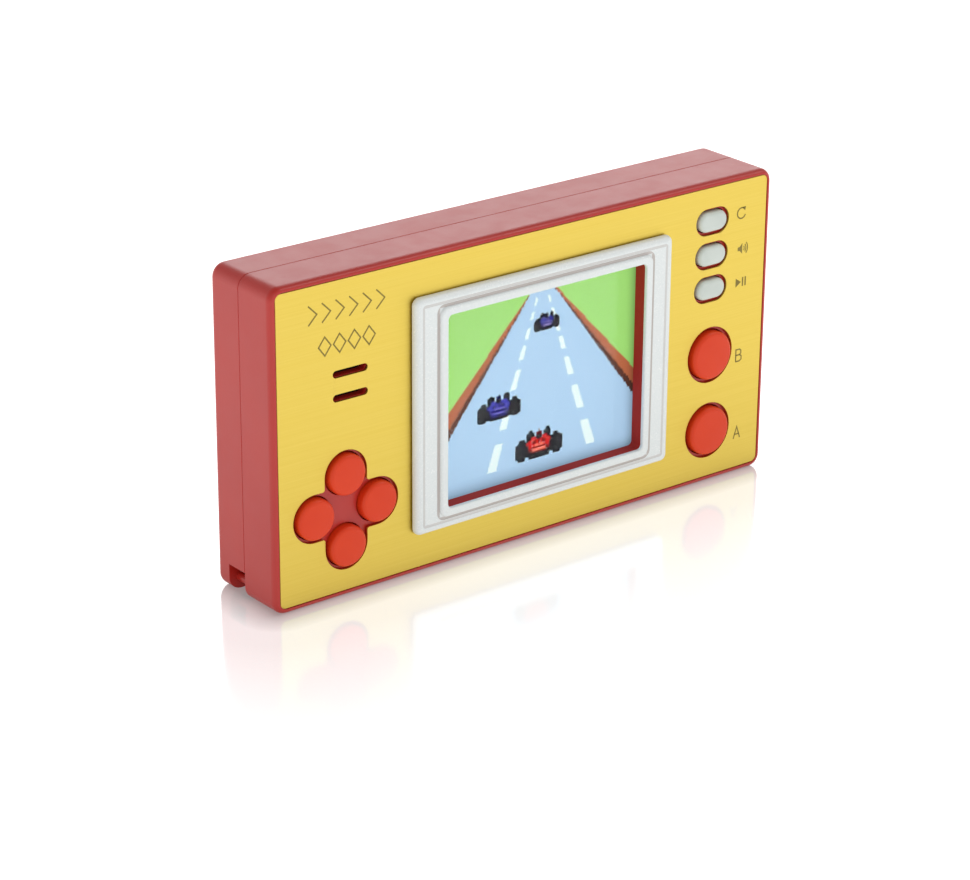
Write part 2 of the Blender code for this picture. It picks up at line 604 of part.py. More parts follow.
def make_screen():
    width, height = OPENING
    hollow = (width + COLLAR_THICKNESS + GAP, height + COLLAR_THICKNESS + GAP)
    corner = OPENING_CORNER
    lip_under = -COLLAR_RISE - GAP
    foot = PLATE_SINK - GAP
    profile = [
        (width, height, corner, lip_under),
        (width, height, corner, -LIP_RISE + 0.2 * MM),
        (width + 0.2 * MM, height + 0.2 * MM, corner, -LIP_RISE),
        (width + LIP_WIDTH - 0.3 * MM, height + LIP_WIDTH - 0.3 * MM, 2 * corner, -LIP_RISE),
        (width + LIP_WIDTH, height + LIP_WIDTH, 2 * corner, -LIP_RISE + 0.15 * MM),
        (width + LIP_WIDTH, height + LIP_WIDTH, 2 * corner, -BEZEL_RISE),
        (BEZEL[0] - 1.1 * MM, BEZEL[1] - 0.9 * MM, corner, -BEZEL_RISE),
        (BEZEL[0] - 0.4 * MM, BEZEL[1] - 0.35 * MM, 1.5 * corner, -BEZEL_RISE + 0.25 * MM),
        (*BEZEL, 2 * corner, -BEZEL_RISE + 0.9 * MM),
        (*BEZEL, 2 * corner, foot),
        (*hollow, 2 * corner, foot),
        (*hollow, 2 * corner, lip_under),
    ]
    loft("screen_bezel", profile, place_at(SCREEN), "silver_paint", ring=True)
    window = (width + WINDOW_BORDER, height + WINDOW_BORDER)
    start = WINDOW_BACK - WINDOW_THICKNESS
    slab("screen_window", window, PLATE_CORNER, start, WINDOW_BACK, SCREEN, "clear_window")
    for name, depth, thickness, finish in (
        ("lcd_glass", GLASS_DEPTH, GLASS_THICKNESS, "lcd_glass"),
        ("lcd_backlight", BACKLIGHT_DEPTH, BACKLIGHT_THICKNESS, "white_plastic"),
    ):
        slab(name, GLASS, 0.4 * MM, depth, depth + thickness, SCREEN, finish, steps=2)
    inner = tuple(half + GAP for half in GLASS)
    outer = (inner[0] + LCD_FRAME_SIDE - GAP, inner[1] + LCD_FRAME_TOP - GAP)
    frame = [
        (*inner, 0.6 * MM, GLASS_DEPTH),
        (*inner, 0.6 * MM, MODULE_BACK),
        (*outer, PLATE_CORNER, MODULE_BACK),
        (*outer, PLATE_CORNER, GLASS_DEPTH),
    ]
    loft("lcd_frame", frame, place_at(SCREEN), "white_plastic", ring=True, steps=2)
    make_ribbon(SCREEN[0] + outer[0] + GAP)


def make_ribbon(start_x):
    """The flat cable leaves the display's edge, turns back beside the battery bay and lies on
    the board's front."""
    start_depth = MODULE_BACK - 0.5 * MM
    end_depth = BOARD_DEPTH - GAP - RIBBON_THICKNESS
    drop = end_depth - start_depth
    run = 3.0 * MM
    turn_x = max(start_x, BAY_HALF_LENGTH + BAY_WALL + GAP)
    middle = [(start_x - RIBBON_THICKNESS, start_depth)]
    for step in range(9):
        share = step / 8
        ease = (1 - math.cos(math.pi * share)) / 2
        middle.append((turn_x + run * share, start_depth + drop * ease))
    middle.append((middle[-1][0] + 2.0 * MM, end_depth))
    back = [(x, depth + RIBBON_THICKNESS) for x, depth in reversed(middle)]
    low = HALF_HEIGHT - RIBBON_WIDTH / 2
    prism("lcd_ribbon", middle + back, low, low + RIBBON_WIDTH, place_at((0, 0)), "amber_film", axis="Z")


def make_cap(name, spot, half, rise, travel, finish):
    """A cap with a rounded top edge, a flange behind the panel and a foot over its dome."""
    corner = min(half)
    sections = []
    for step in range(4):
        turn = math.radians(90) * step / 3
        inset = CAP_EDGE * (1 - math.sin(turn))
        size = (half[0] - inset, half[1] - inset, corner - inset)
        sections.append((*size, -rise + CAP_EDGE * (1 - math.cos(turn))))
    wide = tuple(size + FLANGE_WIDTH for size in half)
    foot = tuple(size * 0.55 for size in half)
    foot_back = KEYPAD_BACK - KEYPAD_THICKNESS - DOME_HEIGHT - travel - GAP / 2
    sections += [
        (*half, corner, FLANGE_DEPTH),
        (*wide, corner + FLANGE_WIDTH, FLANGE_DEPTH),
        (*wide, corner + FLANGE_WIDTH, FLANGE_BACK),
        (*foot, min(foot), FLANGE_BACK),
        (*foot, min(foot), foot_back),
    ]
    loft(name, sections, place_at(spot), finish, steps=ROUND)


def make_buttons():
    round_cap = (DIRECTION_RADIUS, DIRECTION_RADIUS)
    action_cap = (ACTION_RADIUS, ACTION_RADIUS)
    for spots, half, rise, travel, finish in (
        (DIRECTION_BUTTONS, round_cap, DIRECTION_RISE, TRAVEL, "orange_caps"),
        (ACTION_BUTTONS, action_cap, ACTION_RISE, TRAVEL, "orange_caps"),
        (FUNCTION_BUTTONS, FUNCTION_HALF, FUNCTION_RISE, FUNCTION_TRAVEL, "grey_caps"),
    ):
        for name, spot in spots.items():
            make_cap(name, spot, half, rise, travel, finish)


def make_keypads():
    """Rubber sheets in front of the board, with a dome under each cap."""
    start, end = KEYPAD_BACK - KEYPAD_THICKNESS, KEYPAD_BACK
    margin = FLANGE_WIDTH
    width = DIRECTION_RADIUS + margin
    length = DIRECTION_SPREAD + width
    sheet = slab("direction_keypad", (length, width), width, start, end, DIRECTION, "silicone", ROUND)
    join(sheet, pill_hole("keypad_upright", DIRECTION, (width, length), start, end))
    join(sheet, *domes(DIRECTION_BUTTONS, DIRECTION_RADIUS, start))
    for name, spots, half in (
        ("action_keypad", ACTION_BUTTONS, (ACTION_RADIUS, ACTION_RADIUS)),
        ("function_keypad", FUNCTION_BUTTONS, FUNCTION_HALF),
    ):
        heights = [spot[1] for spot in spots.values()]
        middle = (next(iter(spots.values()))[0], (max(heights) + min(heights)) / 2)
        size = (half[0] + margin, (max(heights) - min(heights)) / 2 + half[1] + margin)
        sheet = slab(name, size, min(size), start, end, middle, "silicone")
        join(sheet, *domes(spots, min(half), start))


def domes(spots, radius, start):
    tools = []
    for name, spot in spots.items():
        rings = [(radius * 0.55, start - DOME_HEIGHT), (radius * 0.75, start - DOME_HEIGHT / 3)]
        rings.append((radius * 0.75, start + KEYPAD_THICKNESS / 2))
        tools.append(turned(f"{name}_dome", rings, place_at(spot), steps=4))
    return tools


def make_speaker():
    near = SPEAKER_DEPTH
    neck = MAGNET_RADIUS + GAP
    edge = SPEAKER_RADIUS
    basket = [
        (edge, near),
        (edge, near + 0.5 * MM),
        (edge - 0.8 * MM, near + 0.7 * MM),
        (neck + 0.7 * MM, near + 2.1 * MM),
        (neck, near + 2.1 * MM),
        (neck, near + 1.7 * MM),
        (neck + 0.5 * MM, near + 1.7 * MM),
        (edge - 1.1 * MM, near + 0.35 * MM),
        (edge - 1.1 * MM, near),
    ]
    turned("speaker_frame", basket, place_at(SPEAKER), "steel", ring=True)
    rim = edge - 1.1 * MM - GAP
    cone = [
        (0.4 * MM, near + 0.55 * MM),
        (2.6 * MM, near + 0.85 * MM),
        (rim, near),
        (rim, near + 0.25 * MM),
        (2.7 * MM, near + 1.1 * MM),
        (0.4 * MM, near + 0.8 * MM),
    ]
    turned("speaker_cone", cone, place_at(SPEAKER), "paper_cone")
    back = MAGNET_DEPTH + MAGNET_THICKNESS
    edge_cut = 0.3 * MM
    magnet = [
        (MAGNET_RADIUS, MAGNET_DEPTH),
        (MAGNET_RADIUS, back - edge_cut),
        (MAGNET_RADIUS - edge_cut, back),
    ]
    turned("speaker_magnet", magnet, place_at(SPEAKER), "ferrite")


def make_board():
    """A board like an arch: it runs down both wings and across above the battery bay."""
    side = HALF_WIDTH - WALL - GAP - TONGUE_THICKNESS - BOARD_CLEARANCE
    bay_side = BAY_HALF_LENGTH + BAY_WALL + BOARD_CLEARANCE
    bay_top = HALF_HEIGHT + BAY_HALF_HEIGHT + BAY_WALL + BOARD_CLEARANCE
    low, high = WALL + 2 * MM, CASE_HEIGHT - WALL - 1.6 * MM
    points = [
        (-side, low),
        (-bay_side, low),
        (-bay_side, bay_top),
        (bay_side, bay_top),
        (bay_side, low),
        (side, low),
        (side, high),
        (-side, high),
    ]
    end = BOARD_DEPTH + BOARD_THICKNESS
    board = prism("main_board", points, BOARD_DEPTH, end, place_at((0, 0)), "board_green")
    holes = [round_hole("magnet_hole", SPEAKER, MAGNET_RADIUS + 2 * GAP, BAY_FRONT, CASE_DEPTH)]
    for name, spots, radius in (
        ("board_boss_hole", CASE_SCREWS, BOSS_RADIUS + GAP),
        ("board_hole", BOARD_SCREWS, BOARD_SCREW_RADIUS + GAP),
    ):
        for number, spot in enumerate(spots, 1):
            holes.append(round_hole(f"{name}_{number}", spot, radius, BAY_FRONT, CASE_DEPTH, 4))
    for number, (x, z) in enumerate(CASE_SCREWS):
        x_range = sorted((x, math.copysign(HALF_WIDTH, x)))
        z_range = sorted((z, CASE_HEIGHT if z > HALF_HEIGHT else 0))
        low, high = zip(x_range, (BAY_FRONT, CASE_DEPTH), z_range)
        holes.append(block(f"board_notch_{number}", low, high))
    cut(board, *holes)
    make_board_parts(end + GAP)


def make_board_parts(rear):
    """The chip under its drop of epoxy, the clock crystal and two capacitors."""
    drop = [(5.4, 0), (5.2, 0.5), (4.1, 1.1), (2.2, 1.5)]
    chip = [(radius * MM, rear + rise * MM) for radius, rise in drop]
    turned("game_chip", chip, place_at((ACTION_X - 1 * MM, HALF_HEIGHT - 8 * MM)), "epoxy", steps=5)
    spot = (ACTION_X + 4 * MM, HALF_HEIGHT + 6 * MM)
    slab("clock_crystal", (1.6 * MM, 4.0 * MM), 1.5 * MM, rear, rear + 3.2 * MM, spot, "steel")
    groove = 0.3 * MM
    for number, x, z, radius in (
        (1, ACTION_X - 5 * MM, HALF_HEIGHT + 9 * MM, 2.5 * MM),
        (2, DIRECTION[0] + 3 * MM, DIRECTION[1] + 1 * MM, 3.1 * MM),
    ):
        waist = radius - groove
        rises = (0, 0.8, 1.0, 1.3, 1.5, 5.2, 5.5)
        radii = (radius, radius, waist, waist, radius, radius, waist)
        tin = [(size, rear + rise * MM) for size, rise in zip(radii, rises)]
        turned(f"capacitor_{number}", tin, place_at((x, z)), "black_plastic", steps=4)


def make_switch():
    """A slide switch on the board, and the knob that reaches through the right side."""
    flange_in = SWITCH_RIGHT + SWITCH_SETBACK
    flange_out = flange_in + KNOB_FLANGE
    low = (SWITCH_LEFT, PANEL_BACK + GAP, SWITCH_HEIGHT - SWITCH_BODY_LENGTH / 2)
    high = (SWITCH_RIGHT, BOARD_DEPTH - GAP, SWITCH_HEIGHT + SWITCH_BODY_LENGTH / 2)
    body = block("power_switch_body", low, high, "steel")
    pin_half = (0.5 * MM, 0.6 * MM)
    room = (pin_half[0] + GAP, pin_half[1] + SWITCH_TRAVEL / 2 + GAP)
    cut(body, switch_slot("lever_room", *room, SWITCH_RIGHT - 1.6 * MM, SWITCH_RIGHT + BEYOND))
    rest = SWITCH_HEIGHT - SWITCH_TRAVEL / 2
    top = HALF_WIDTH - 0.4 * MM
    half = (KNOB_WIDTH / 2, KNOB_LENGTH / 2, 0.6 * MM)
    place = (0, FRONT_Y + SWITCH_DEPTH, rest)
    grip = [(*half, flange_out - OVERLAP), (*half, top)]
    knob = loft("power_switch_knob", grip, place, "black_plastic", axis="X", steps=3)
    wide = (SWITCH_DEPTH - PANEL_BACK - GAP, KNOB_LENGTH / 2 + SWITCH_TRAVEL, 0.4 * MM)
    flange = [(*wide, flange_in), (*wide, flange_out)]
    join(knob, loft("knob_flange", flange, place, axis="X", steps=2))
    join(knob, switch_slot("knob_pin", *pin_half, SWITCH_RIGHT - BEYOND, flange_in + OVERLAP, rest))
    for number in (-1, 0, 1):
        z = rest + number * 1.1 * MM
        y = KNOB_WIDTH / 2 - 0.35 * MM
        low = (top - OVERLAP, SWITCH_DEPTH - y, z - 0.25 * MM)
        high = (HALF_WIDTH - 0.1 * MM, SWITCH_DEPTH + y, z + 0.25 * MM)
        join(knob, block(f"knob_rib_{number:+d}", low, high))


def cell_height(number):
    """Cells are numbered from the top."""
    return HALF_HEIGHT + ((CELL_COUNT + 1) / 2 - number) * CELL_PITCH


def positive_side(number):
    """-1 where the cell's nub points left, 1 where it points right."""
    return -1 if number % 2 else 1


def make_cells():
    for number in range(1, CELL_COUNT + 1):
        side = positive_side(number)
        tip = side * (BAY_HALF_LENGTH - 2 * GAP - CONTACT_THICKNESS)
        shoulder = tip - side * NUB_LENGTH
        far = tip - side * CELL_LENGTH
        edge = 0.4 * MM
        profile = [
            (NUB_RADIUS - 0.2 * MM, tip),
            (NUB_RADIUS, tip - side * 0.2 * MM),
            (NUB_RADIUS, shoulder),
            (CELL_RADIUS - edge, shoulder),
            (CELL_RADIUS, shoulder - side * edge),
            (CELL_RADIUS, far + side * edge),
            (CELL_RADIUS - edge, far),
        ]
        place = place_at((0, cell_height(number)), CELL_AXIS_DEPTH)
        turned(f"battery_cell_{number}", profile, place, "cell_jacket", axis="X")


def make_contacts():
    """Four plates at the ends of the bay: two with a tab for a wire, two that link cells."""
    half = CONTACT_SIZE / 2
    for name, side, first, last in (
        ("contact_plus", -1, 1, 1),
        ("contact_link_left", -1, 2, 3),
        ("contact_link_right", 1, 1, 2),
        ("contact_minus", 1, 3, 3),
    ):
        outer = side * (BAY_HALF_LENGTH - GAP)
        inner = outer - side * CONTACT_THICKNESS
        low = (min(inner, outer), CELL_AXIS_DEPTH - half, cell_height(last) - half)
        high = (max(inner, outer), CELL_AXIS_DEPTH + half, cell_height(first) + half)
        plate = block(name, low, high, "steel")
        if first != last:
            continue
        reach = side * (BAY_HALF_LENGTH + BAY_WALL + TAB_REACH)
        z = cell_height(first)
        low = (min(inner, reach), CELL_AXIS_DEPTH - TAB_THICKNESS / 2, z - TAB_WIDTH / 2)
        high = (max(inner, reach), CELL_AXIS_DEPTH + TAB_THICKNESS / 2, z + TAB_WIDTH / 2)
        join(plate, block(f"{name}_tab", low, high))
    for number in range(1, CELL_COUNT + 1):
        side = -positive_side(number)
        base = side * (BAY_HALF_LENGTH - 2 * GAP - CONTACT_THICKNESS - SPRING_WIRE)
        length = SPRING_LENGTH - GAP - 2 * SPRING_WIRE
        steps = round(SPRING_TURNS * 8)
        points = []
        for step in range(steps + 1):
            share = step / steps
            radius = half - 1.3 * MM * share
            turn = 2 * math.pi * SPRING_TURNS * share
            u, v = radius * math.cos(turn), radius * math.sin(turn)
            points.append((base - side * length * share, u, v))
        place = place_at((0, cell_height(number)), CELL_AXIS_DEPTH)
        tube(f"battery_spring_{number}", points, SPRING_WIRE, place, "steel", resolution=1)


def tube(name, points, radius, place, finish, resolution=2):
    """A round bar or wire along points, with closed ends."""
    curve = bpy.data.curves.new(name, "CURVE")
    curve.dimensions = "3D"
    curve.bevel_depth = radius
    curve.bevel_resolution = resolution
    curve.use_fill_caps = True
    spline = curve.splines.new("POLY")
    spline.points.add(len(points) - 1)
    for target, point in zip(spline.points, points):
        target.co = (*point, 1.0)
    piece = bpy.data.objects.new(name, curve)
    piece.location = place
    bpy.context.scene.collection.objects.link(piece)
    paint(piece, finish)
    return piece


def smooth_route(route, per_span=4):
    """Points of a smooth curve (Catmull-Rom) through the route's own points."""
    ends = [route[0], *route, route[-1]]
    points = []
    for span in zip(ends, ends[1:], ends[2:], ends[3:]):
        for step in range(per_span):
            t = step / per_span
            weights = (
                (-t + 2 * t**2 - t**3) / 2,
                (2 - 5 * t**2 + 3 * t**3) / 2,
                (t + 4 * t**2 - 3 * t**3) / 2,
                (t**3 - t**2) / 2,
            )
            mixed = [sum(w * p[axis] for w, p in zip(weights, span)) for axis in range(3)]
            points.append(tuple(mixed))
    return [*points, route[-1]]


def make_wires():
    """Leads from the loudspeaker and from the two end contacts to the back of the board."""
    wire = 0.45 * MM
    board = BOARD_DEPTH + BOARD_THICKNESS + GAP + wire
    magnet = MAGNET_DEPTH + MAGNET_THICKNESS + GAP + wire
    for number, finish in enumerate(("red_wire", "black_wire")):
        x = SPEAKER[0] + (2 * number - 1) * 1.6 * MM
        route = [
            (x, magnet, SPEAKER[1] + 1.0 * MM),
            (x, magnet + 1.0 * MM, SPEAKER[1] + 4.5 * MM),
            (x + 0.8 * MM, magnet + 1.2 * MM, SPEAKER[1] + 7.5 * MM),
            (x + 1.2 * MM, board, SPEAKER[1] + 11.0 * MM),
            (x + 1.2 * MM, board, SPEAKER[1] + 12.5 * MM),
        ]
        tube(f"speaker_wire_{number + 1}", smooth_route(route), wire, (0, FRONT_Y, 0), finish)
    for name, side, number, finish in (
        ("battery_wire_plus", -1, 1, "red_wire"),
        ("battery_wire_minus", 1, 3, "black_wire"),
    ):
        tab = side * (BAY_HALF_LENGTH + BAY_WALL + TAB_REACH)
        start = (tab + side * (GAP + wire), CELL_AXIS_DEPTH, cell_height(number))
        route = [
            start,
            (start[0] + side * 2.0 * MM, start[1] - 0.6 * MM, start[2] - 0.6 * MM),
            (start[0] + side * 3.4 * MM, start[1] - 2.2 * MM, start[2] - 1.6 * MM),
            (start[0] + side * 4.0 * MM, board, start[2] - 3.6 * MM),
            (start[0] + side * 4.2 * MM, board, start[2] - 5.0 * MM),
        ]
        tube(name, smooth_route(route), wire, (0, FRONT_Y, 0), finish)


def make_door():
    """The door's outer face is flush with the back. Two tabs hook behind the left edge, where
    the origin lies on the hinge line."""
    half = (BAY_HALF_LENGTH + DOOR_LEDGE - GAP, BAY_HALF_HEIGHT + DOOR_LEDGE - GAP)
    corner = PLATE_CORNER - GAP
    door = slab("battery_door", half, corner, DOOR_DEPTH, CASE_DEPTH, MIDDLE, "red_abs")
    door.data.transform(Matrix.Translation((half[0], -CASE_DEPTH, 0)))
    door.location = place_at((-half[0], HALF_HEIGHT), CASE_DEPTH)
    tab_back = BACK_INNER - GAP
    tab_front = tab_back - DOOR_TAB_THICKNESS
    for number, side in enumerate((-1, 1), 1):
        z = HALF_HEIGHT + side * DOOR_TAB_SPREAD
        low, high = z - DOOR_TAB_WIDTH / 2, z + DOOR_TAB_WIDTH / 2
        neck = ((-half[0], tab_front, low), (-half[0] + 0.8 * MM, DOOR_DEPTH + OVERLAP, high))
        hook = ((-half[0] - DOOR_TAB_REACH, tab_front, low), (-half[0] + 0.4 * MM, tab_back, high))
        join(door, block(f"door_neck_{number}", *neck), block(f"door_hook_{number}", *hook))
    groove = (0.35 * MM, SCOOP_LENGTH / 2)
    groove_front = CASE_DEPTH - 0.35 * MM
    for number in range(3):
        spot = (half[0] - (3.0 + 1.5 * number) * MM, HALF_HEIGHT)
        outside = CASE_DEPTH + BEYOND
        cut(door, pill_hole(f"door_groove_{number}", spot, groove, groove_front, outside, 2))


def make_screw(name, spot, head_back, head_radius, head_thickness, radius, tip):
    """A pan-head screw that points to the front, with a cross recess in its head."""
    seat = head_back - head_thickness
    edge = head_thickness * 0.35
    profile = [
        (head_radius - edge, head_back),
        (head_radius, head_back - edge),
        (head_radius, seat),
        (radius, seat),
        (radius, tip + radius),
        (radius * 0.35, tip),
    ]
    screw = turned(name, profile, place_at(spot), "steel", steps=4)
    arm, half = head_radius * 0.6, head_radius * 0.14
    quarter = [(half, -arm), (half, -half), (arm, -half)]
    cross = []
    for turn in range(4):
        cross += quarter
        quarter = [(-v, u) for u, v in quarter]
    recess = head_back - head_thickness * 0.55
    cut(screw, prism(f"{name}_cross", cross, recess, head_back + BEYOND, place_at(spot)))


def make_screws():
    back = CASE_DEPTH - SCREW_SINK
    head = (SCREW_HEAD_RADIUS, SCREW_HEAD_THICKNESS)
    for number, spot in enumerate(CASE_SCREWS, 1):
        make_screw(f"case_screw_{number}", spot, back, *head, SCREW_RADIUS, PANEL_BACK + 2 * MM)
    head = (BOARD_SCREW_HEAD_RADIUS, BOARD_SCREW_HEAD_THICKNESS)
    back = BOARD_DEPTH + BOARD_THICKNESS + GAP + BOARD_SCREW_HEAD_THICKNESS
    for number, spot in enumerate(BOARD_SCREWS, 1):
        make_screw(f"board_screw_{number}", spot, back, *head, BOARD_SCREW_RADIUS, PANEL_BACK + MM)


def main():
    for old in list(bpy.data.objects):
        bpy.data.objects.remove(old, do_unlink=True)
    make_front_case()
    make_rear_case()
    make_front_plate()
    make_screen()
    make_buttons()
    make_keypads()
    make_speaker()
    make_board()
    make_switch()
    make_cells()
    make_contacts()
    make_wires()
    make_door()
    make_screws()


main()
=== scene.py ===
import json
import math

import bmesh
import bpy
import numpy as np
from mathutils import Matrix, Vector, geometry


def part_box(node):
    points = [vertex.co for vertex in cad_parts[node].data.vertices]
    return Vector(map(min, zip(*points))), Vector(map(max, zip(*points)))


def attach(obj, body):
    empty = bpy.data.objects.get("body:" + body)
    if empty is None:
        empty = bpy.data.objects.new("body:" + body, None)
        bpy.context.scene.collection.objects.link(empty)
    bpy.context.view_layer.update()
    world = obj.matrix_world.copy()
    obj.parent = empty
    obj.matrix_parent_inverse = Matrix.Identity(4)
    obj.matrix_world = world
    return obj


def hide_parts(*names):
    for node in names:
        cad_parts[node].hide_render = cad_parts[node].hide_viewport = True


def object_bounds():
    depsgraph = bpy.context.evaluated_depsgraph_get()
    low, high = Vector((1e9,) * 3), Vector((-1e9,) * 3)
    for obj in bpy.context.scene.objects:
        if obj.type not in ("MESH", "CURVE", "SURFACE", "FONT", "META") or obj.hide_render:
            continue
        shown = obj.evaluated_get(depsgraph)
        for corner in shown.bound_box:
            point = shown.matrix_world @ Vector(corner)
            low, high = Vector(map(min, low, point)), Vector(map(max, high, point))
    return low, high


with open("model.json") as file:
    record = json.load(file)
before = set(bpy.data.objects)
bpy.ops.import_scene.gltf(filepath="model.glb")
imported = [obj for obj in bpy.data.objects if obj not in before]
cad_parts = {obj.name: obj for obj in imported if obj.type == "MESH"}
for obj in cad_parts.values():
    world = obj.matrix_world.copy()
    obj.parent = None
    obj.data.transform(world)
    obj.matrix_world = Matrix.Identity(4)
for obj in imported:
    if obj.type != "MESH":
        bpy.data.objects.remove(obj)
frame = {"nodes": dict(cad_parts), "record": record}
cadLow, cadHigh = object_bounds()
cadNodes = frame["nodes"]
print("frame loaded:", len(cadNodes), "CAD nodes")

# Every length below is in millimetres. u runs right, v runs up, and a depth goes backwards
# from the front rim of the case.
mm = 0.001
case = {
    "halfWidth": cadHigh.x / mm,
    "halfHeight": cadHigh.z / mm / 2,
    "depth": 17.0,
    "corner": 2.4,
    "wall": 1.6,
    "rim": 1.0,
    "frontFillet": 1.3,
    "backFillet": 0.9,
    "edge": 0.12,
    "frontShell": 9.05,
    "rearStart": 9.11,
    "panelFront": 0.8,
    "panelBack": 2.3,
    "backInner": 15.6,
    "gap": 0.3,
}
frontY = cadHigh.y / mm - case["depth"]
middle = (0.0, case["halfHeight"])


def inWorld(points):
    # (u, v, depth) in mm becomes (u, front + depth, v) in metres
    points = np.asarray(points, float).reshape(-1, 3)
    return np.stack([points[:, 0], frontY + points[:, 2], points[:, 1]], axis=1) * mm


def roundedRect(halfU, halfV, radius, spot=(0.0, 0.0), steps=10):
    # four corner centres at the half sizes less the radius, each plus radius * (cos t, sin t)
    t = (np.arange(4)[:, None] + np.linspace(0, 1, steps + 1)) * math.pi / 2
    side = np.array([1, -1, -1, 1])[:, None]
    up = np.array([1, 1, -1, -1])[:, None]
    u = side * (halfU - radius) + radius * np.cos(t)
    v = up * (halfV - radius) + radius * np.sin(t)
    return np.stack([u.ravel() + spot[0], v.ravel() + spot[1]], axis=1)


def clover(halfWidth, halfLength, hollow, spot, steps=14):
    # one arm is a half circle about (L - w, 0) and then a hollow corner about (w + f, w + f);
    # the other arms are that arm turned by 90, 180 and 270 degrees
    out = np.linspace(-0.5, 0.5, 2 * steps) * math.pi
    back = np.linspace(-0.5, -1.0, steps // 2) * math.pi
    armU = np.append(halfLength - halfWidth + halfWidth * np.cos(out), halfWidth + hollow + hollow * np.cos(back))
    armV = np.append(halfWidth * np.sin(out), halfWidth + hollow + hollow * np.sin(back))
    turn = np.arange(4)[:, None] * math.pi / 2
    u = armU * np.cos(turn) - armV * np.sin(turn)
    v = armU * np.sin(turn) + armV * np.cos(turn)
    return np.stack([u.ravel() + spot[0], v.ravel() + spot[1]], axis=1)


def softened(profile, radii, steps=5, share=0.49):
    # each inner corner B of a profile becomes the conic (A(1-t)^2 + 2wBt(1-t) + Ct^2) over the
    # sum of its weights, with w = cos 45 degrees, so a right angle gets a true arc
    profile = np.asarray(profile, float)
    before, here, after = profile[:-2], profile[1:-1], profile[2:]
    radii = np.broadcast_to(np.asarray(radii, float), len(here))

    def toward(end):
        span = end - here
        length = np.maximum(np.hypot(span[:, 0], span[:, -1]), 1e-9)
        return here + span * np.minimum(radii / length, share)[:, None]

    t = np.linspace(0, 1, steps + 1)[:, None, None]
    weight = math.sqrt(0.5)
    top = (1 - t) ** 2 * toward(before) + 2 * weight * t * (1 - t) * here + t**2 * toward(after)
    curve = top / ((1 - t) ** 2 + 2 * weight * t * (1 - t) + t**2)
    return np.vstack([profile[:1], np.swapaxes(curve, 0, 1).reshape(-1, profile.shape[1]), profile[-1:]])


def lifted(outline, depth):
    return np.column_stack([outline, np.full(len(outline), depth)])


def ringsOf(rows, spot, steps=10):
    # one rounded rectangle for each row (half u, half v, corner radius, depth)
    return np.array([lifted(roundedRect(*row[:3], spot, steps), row[3]) for row in rows])


def insetRows(pairs, halfU, halfV, corner, least=0.0):
    # (inset, depth) pairs become rows: both halves and the corner radius lose the inset
    inset, depth = np.asarray(pairs, float).T
    return np.stack([halfU - inset, halfV - inset, np.maximum(corner - inset, least), depth], axis=1)


def skin(rings, loop=False, capStart=False, capEnd=False):
    # a grid of quads: which ring one way, place on the ring the other way
    rings = np.asarray(rings, float)
    index = np.arange(rings.shape[0] * rings.shape[1]).reshape(rings.shape[:2])
    rows = np.vstack([index, index[:1]]) if loop else index
    across = np.roll(rows, -1, axis=1)
    faces = np.stack([rows[:-1], across[:-1], across[1:], rows[1:]], axis=-1).reshape(-1, 4).tolist()
    if capStart:
        faces.append(index[0].tolist())
    if capEnd:
        faces.append(index[-1].tolist())
    return rings.reshape(-1, 3), faces


def insideOf(outline, spots):
    # odd when a level ray from a spot crosses the outline an odd number of times
    start, end = outline[None], np.roll(outline, -1, axis=0)[None]
    level = spots[:, None, 1]
    rise = end[..., 1] - start[..., 1]
    safe = np.where(rise == 0, 1.0, rise)
    meets = start[..., 0] + (level - start[..., 1]) / safe * (end[..., 0] - start[..., 0])
    crossed = ((start[..., 1] > level) != (end[..., 1] > level)) & (spots[:, None, 0] < meets)
    return crossed.sum(axis=1) % 2 == 1


def flatFace(outlines, depth):
    # Delaunay triangles between the first outline and the holes that the others make in it
    counts = [len(outline) for outline in outlines]
    starts = np.cumsum([0, *counts[:-1]])
    edges = [(int(s + i), int(s + (i + 1) % n)) for s, n in zip(starts, counts) for i in range(n)]
    flat = [Vector(point) for point in np.concatenate(outlines).tolist()]
    points, _, faces, *_ = geometry.delaunay_2d_cdt(flat, edges, [], 1, 1e-5)
    points, faces = np.array([tuple(point) for point in points]), np.array(faces)
    middles = points[faces].mean(axis=1)
    kept = insideOf(outlines[0], middles)
    for hole in outlines[1:]:
        kept &= ~insideOf(hole, middles)
    return lifted(points, depth), faces[kept].tolist()


def stroke(points, width, front, back):
    # a ribbon: each point plus and minus half the width along the mitred normal, between two depths
    points = np.asarray(points, float)
    step = np.diff(points, axis=0)
    step /= np.linalg.norm(step, axis=1, keepdims=True)
    closed = np.allclose(points[0], points[-1])
    first, last = (step[-1], step[0]) if closed else (step[0], step[-1])
    before, after = np.vstack([first, step]), np.vstack([step, last])
    normal = np.stack([-(before + after)[:, 1], (before + after)[:, 0]], axis=1)
    normal /= np.linalg.norm(normal, axis=1, keepdims=True)
    flatness = np.maximum((normal[:, 0] * -after[:, 1] + normal[:, 1] * after[:, 0]), 0.4)
    reach = normal * (width / 2 / flatness)[:, None]
    left, right = points + reach, points - reach
    rings = np.stack([lifted(left, front), lifted(right, front), lifted(right, back), lifted(left, back)], axis=1)
    return skin(rings, capStart=not closed, capEnd=not closed)


def plateOf(outline, front, back):
    # a filled outline with straight sides
    return skin([lifted(outline, front), lifted(outline, back)], capStart=True, capEnd=True)


